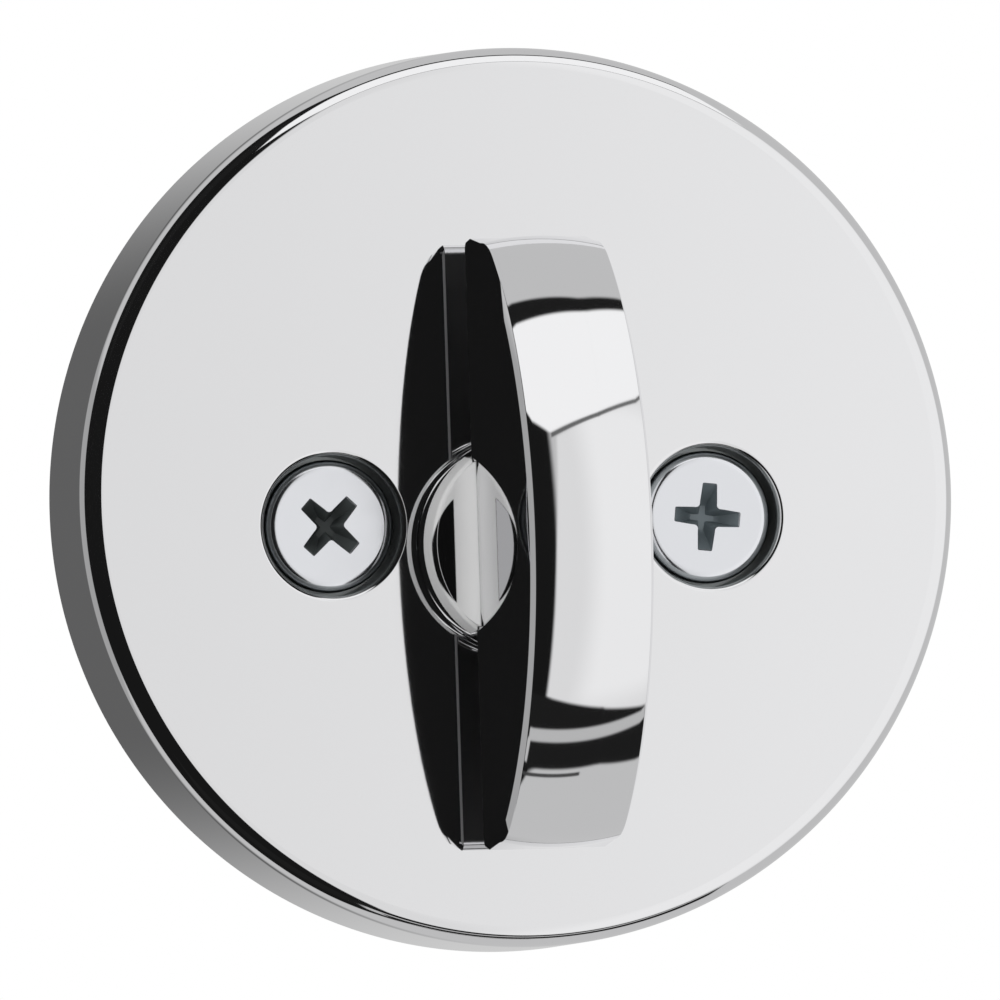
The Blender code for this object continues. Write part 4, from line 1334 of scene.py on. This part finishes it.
@dataclass
class TorqueDrive:
    """The flat bar that turns the bolt's hub, and the slotted pin that holds it in the stem."""

    width: float = 0.0050
    thickness: float = 0.0020
    edge: float = 0.00012
    reach: float = 0.0500
    seat: float = 0.0077
    tip: float = 0.0010
    score_pitch: float = 0.0065
    score_depth: float = 0.0004
    scores: int = 5
    pin_radius: float = 0.0010
    pin_wall: float = 0.0004
    pin_slit: float = 0.0005
    pin_length: float = 0.0084
    pin_edge: float = 0.00008
    fit: float = 0.0003

    def build_blade(self) -> None:
        """Make the bar with its score notches, pointed tip and pin hole."""
        half, deep = self.width / 2, self.score_depth
        side: Outline = [(half, self.seat)]
        for score in range(self.scores, 0, -1):
            height = score * self.score_pitch - self.reach
            side += [(half, height + deep), (half - deep, height), (half, height - deep)]
        side += [(half, self.tip - self.reach), (half - self.tip, -self.reach)]
        hole = circle(0, PIN_HEIGHT, self.pin_radius + self.fit, 32)
        blade = slab("driver_bar", [side + mirrored(side), hole], -self.thickness / 2,
                     self.thickness / 2, self.edge)
        blade.data.transform(Matrix(((0, 0, 1, 0), (1, 0, 0, 0), (0, 1, 0, 0), (0, 0, 0, 1))))
        dress(blade, ZINC_PLATE, Carrier.TURN, "torque_blade")

    def build_pin(self) -> None:
        """Make the rolled pin."""
        inner, gap = self.pin_radius - self.pin_wall, self.pin_slit / 2
        outside, inside = math.asin(gap / self.pin_radius), math.asin(gap / inner)
        outline = arc(0, 0, self.pin_radius, outside, math.tau - outside, 40)
        outline += arc(0, 0, inner, math.tau - inside, inside, 32)
        pin = slab("rolled_pin", [outline], -self.pin_length / 2, self.pin_length / 2,
                   self.pin_edge)
        pin.data.transform(Matrix.Translation((0, 0, PIN_HEIGHT)) @ ALONG_X)
        dress(pin, SPRING_STEEL, Carrier.TURN, "blade_pin")


@dataclass
class ScrewKeeper:
    """The plastic ring that keeps a mounting screw in the trim."""

    side: str
    radius: float = 0.0046
    bore: float = 0.0027
    thickness: float = 0.0012
    edge: float = 0.0003
    soft: float = 0.0001

    def build(self) -> None:
        """Make the ring."""
        profile = soften([(self.radius, 0), (self.radius, self.edge - self.thickness),
                          (self.radius - self.edge, -self.thickness), (self.bore, -self.thickness),
                          (self.bore, 0)], self.soft, 2, closed=True)
        ring = lathe("keeper_ring_" + self.side, profile, 80, SCREWS[self.side], closed=True)
        dress(ring, NYLON, Carrier.ROSE, "screw_keeper_" + self.side)


# Studio


class Measure(Enum):
    """How a direction from the trim is given, as two angles in degrees."""

    LEAN = "to the right of the spindle's upright plane, and climbing from the face over the trim"
    BEARING = "round from the front to the right, and up"

    def direction(self, first: float, second: float) -> Vector:
        """Turn two angles in degrees into a direction.

        Args:
            first: the sideways angle.
            second: the climbing angle.

        Returns:
            The direction, of unit length.
        """
        a, b = math.radians(first), math.radians(second)
        if self is Measure.LEAN:
            return Vector((math.sin(a), -math.cos(a) * math.cos(b), math.cos(a) * math.sin(b)))
        return Vector((math.sin(a) * math.cos(b), -math.cos(a) * math.cos(b), math.sin(b)))


@dataclass(frozen=True)
class Card:
    """A softbox, a flag or a gap between them, which polished metal mirrors.

    Attributes:
        name: what it is.
        corners: directions of its corners from the trim, in order round it.
        soft: width of its soft edge in degrees.
        level: its brightness.
        measure: how its corners are given.
    """

    name: str
    corners: tuple[Point, ...]
    soft: float
    level: float
    measure: Measure = Measure.LEAN

    def mask(self, net: Wiring, direction: Socket) -> object:
        """Make a soft-edged mask that is 1 inside the planes through the trim and the card's edges.

        Args:
            net: the world's nodes.
            direction: the direction's socket.

        Returns:
            The mask's socket.
        """
        corners = [self.measure.direction(*corner) for corner in self.corners]
        middle = sum(corners, Vector((0, 0, 0)))
        half = math.radians(self.soft / 2)
        mask: object = 1.0
        for first, second in zip(corners, corners[1:] + corners[:1]):
            plane = first.cross(second).normalized()
            inward = plane if plane.dot(middle) > 0 else -plane
            side = net.ramp(net.dot(direction, inward), (-half, half))
            mask = net.calculate("MULTIPLY", mask, side)
        return mask


# A flag's brightness, and the cards in the order in which they cover each other

FLAG = 0.014
CARDS = (
    Card("rear shade", ((-150, 40), (-150, -45), (178, -45), (178, 40)), 24, 0.13,
         Measure.BEARING),
    Card("rear strip", ((-152, 19), (-152, -23), (-96, -24), (-96, 19)), 6, 0.42,
         Measure.BEARING),
    Card("black side", ((-0.5, 72), (-104, 70), (-104, -74), (-0.5, -72)), 2.5, 0.010,
         Measure.BEARING),
    Card("black overhead, far left", ((-60, 74), (-11, 78.5), (-11, 50), (-60, 50)), 1.5, FLAG),
    Card("black overhead, left", ((-12, 78.4), (20, 83), (20, 50), (-12, 50)), 1.5, FLAG),
    Card("black overhead, right", ((19, 82.8), (36, 93), (36, 50), (19, 50)), 1.5, FLAG),
    Card("front softbox", ((0, 31.4), (-1, 0), (-5, -48), (38, -60), (80, -60), (80, 57.5),
                           (40, 51.5)), 1.6, 0.85),
    Card("front softbox, bright side", ((9.7, 45), (9.7, -52), (80, -60), (80, 60)), 12, 1.0),
    Card("black underfoot, left", ((-40, -48), (-5, -48), (20, -54), (20, -74.6), (-40, -72.6)),
         1.5, FLAG),
    Card("black underfoot, right", ((19, -54), (38, -60), (38, -82), (19, -74.3)), 1.5, FLAG),
    Card("overhead softbox, left", ((-12, 42), (0, 33.5), (20, 41), (20, 77.6), (-9, 70.2),
                                    (-14, 59)), 1.5, 1.08),
    Card("overhead softbox, right", ((19.2, 40.8), (40, 53.3), (36, 87.6), (19.2, 77.2)),
         1.5, 1.08),
    Card("seam between the softboxes, left", ((0.3, 31.9), (0.3, 33.4), (20, 41), (20, 39.6)),
         0.7, 0.15),
    Card("seam between the softboxes, right", ((19.5, 39.4), (19.5, 40.8), (40, 53.3), (40, 51.8)),
         0.7, 0.15),
    Card("floor gleam", ((-8, -59.5), (38, -60.5), (38, -65), (-8, -64)), 1.2, 0.56),
    Card("floor gleam, upright end", ((-9, -63), (-5.8, -63), (-5.8, -72), (-9, -71.5)), 1.0, 0.56),
    Card("floor joint", ((-9, -75.4), (14, -76), (14, -77.4), (-9, -76.8)), 0.6, 0.06),
)


@dataclass
class Studio:
    """The white cove, the lamp, the cards that the metal reflects, the floor and the camera."""

    cards: tuple[Card, ...] = CARDS
    base_level: float = 0.62
    diffuse_level: float = 0.7
    floor_drop: float = 0.30
    floor_size: float = 6.0
    floor_roughness: float = 0.9
    floor_greys: tuple[float, float] = (0.80, 0.86)
    floor_clouds: float = 4.0
    lamp_spot: tuple[float, float, float] = (-0.9, -1.2, 1.1)
    lamp_size: float = 0.9
    lamp_power: float = 6.0
    distance: float = 2.0
    azimuth: float = -14.5
    elevation: float = -1.755
    roll: float = -1.855
    aim: tuple[float, float, float] = (0, 0, ROSE_RISE)
    slide: Point = (0.0010357, 0.000148)
    lens: float = 973.2
    sensor: float = 36
    clip_start: float = 0.1
    clip_end: float = 20

    def build_world(self) -> None:
        """Make the world: white to the eye, soft to plain surfaces, carded to polished ones."""
        world = bpy.data.worlds.new("white cove")
        bpy.context.scene.world = world
        world.use_nodes = True
        net = Wiring(world.node_tree)
        net.tree.nodes.clear()
        direction = net.add("TexCoord", {}, "Generated")
        level: object = self.base_level
        for card in self.cards:
            gap = net.calculate("SUBTRACT", card.level, level)
            level = net.calculate("MULTIPLY_ADD", gap, card.mask(net, direction), level)
        white = (1, 1, 1, 1)
        sheen = net.add("Background", {"Color": level})
        soft = net.add("Background", {"Color": white, "Strength": self.diffuse_level})
        clear = net.add("Background", {"Color": white, "Strength": 1.0})
        glossy, camera = (net.add("LightPath", {}, f"Is {ray} Ray") for ray in ("Glossy", "Camera"))
        lit = net.add("MixShader", {0: glossy, 1: soft, 2: sheen})
        seen = net.add("MixShader", {0: camera, 1: lit, 2: clear})
        net.feed(net.tree.nodes.new("ShaderNodeOutputWorld").inputs["Surface"], seen)

    def build_floor(self) -> None:
        """Lay the plain pale floor, which polished metal doesn't mirror."""
        build = bmesh.new()
        bmesh.ops.create_grid(build, x_segments=1, y_segments=1, size=self.floor_size / 2)
        floor = wrap_mesh("floor", build)
        floor.location = (0, 0, -self.floor_drop)
        paint = bpy.data.materials.new("floor_paint")
        paint.use_nodes = True
        net = Wiring(paint.node_tree)
        shader = net.tree.nodes["Principled BSDF"]
        shader.inputs["Roughness"].default_value = self.floor_roughness
        tone = net.tree.nodes.new("ShaderNodeValToRGB")
        for element, grey in zip(tone.color_ramp.elements, self.floor_greys):
            element.color = (grey, grey, grey, 1)
        net.feed(tone.inputs["Fac"], net.add("TexNoise", {"Scale": self.floor_clouds}, "Fac"))
        net.feed(shader.inputs["Base Color"], tone.outputs["Color"])
        floor.data.materials.append(paint)
        floor.visible_glossy = False

    def hang_lamp(self) -> None:
        """Hang a large soft lamp that faces the trim and that polished metal doesn't mirror."""
        light = bpy.data.lights.new("key lamp", "AREA")
        light.shape, light.size, light.energy = "SQUARE", self.lamp_size, self.lamp_power
        lamp = bpy.data.objects.new("key lamp", light)
        lamp.location = self.lamp_spot
        lamp.rotation_euler = Vector(self.lamp_spot).to_track_quat("Z", "Y").to_euler()
        bpy.context.scene.collection.objects.link(lamp)
        lamp.visible_glossy = False

    def set_camera(self) -> None:
        """Set the camera at the photo's angle."""
        a, r = math.radians(self.azimuth), math.radians(self.roll)
        level = Vector((math.cos(a), math.sin(a), 0))
        back = Measure.BEARING.direction(self.azimuth, self.elevation)
        rise = back.cross(level)
        right = level * math.cos(r) + rise * math.sin(r)
        up = rise * math.cos(r) - level * math.sin(r)
        data = bpy.data.cameras.new("camera")
        data.lens, data.sensor_width = self.lens, self.sensor
        data.clip_start, data.clip_end = self.clip_start, self.clip_end
        camera = bpy.data.objects.new("camera", data)
        spot = Vector(self.aim) + back * self.distance + right * self.slide[0] + up * self.slide[1]
        turn = Matrix((right, up, back)).transposed().to_4x4()
        camera.matrix_world = Matrix.Translation(spot) @ turn
        bpy.context.scene.collection.objects.link(camera)
        bpy.context.scene.camera = camera

    def build(self) -> None:
        """Set up everything round the trim."""
        self.build_world()
        self.build_floor()
        self.hang_lamp()
        self.set_camera()
        bpy.context.scene.view_settings.view_transform = "Standard"
        log.info("studio set with %d cards", len(self.cards))


def build_trim() -> None:
    """Make every piece of the trim, front to back."""
    turn, detent, rear, drive = ThumbTurn(), Detent(), RearStack(), TorqueDrive()
    Rose().build()
    turn.build()
    for side in SCREWS:
        MountingScrew(side).build()
        ScrewKeeper(side).build()
    HubBearing().build()
    detent.build_cam(turn.square_outline())
    detent.build_spring("upper", 1)
    detent.build_spring("lower", -1)
    for number, place in enumerate(detent.post_places(), start=1):
        detent.build_post(number, place)
    plate = BackingPlate(detent.post_places())
    plate.build_plate()
    for side in SMALL_SCREWS:
        plate.build_small_screw(side)
    rear.build_thrust_washer()
    rear.build_wave_washer()
    rear.build_clip()
    drive.build_blade()
    drive.build_pin()


def main() -> None:
    """Build the trim and its studio."""
    logging.basicConfig(level=logging.INFO, format="%(message)s")
    build_trim()
    Studio().build()
    bpy.context.view_layer.update()


if __name__ == "__main__":
    main()
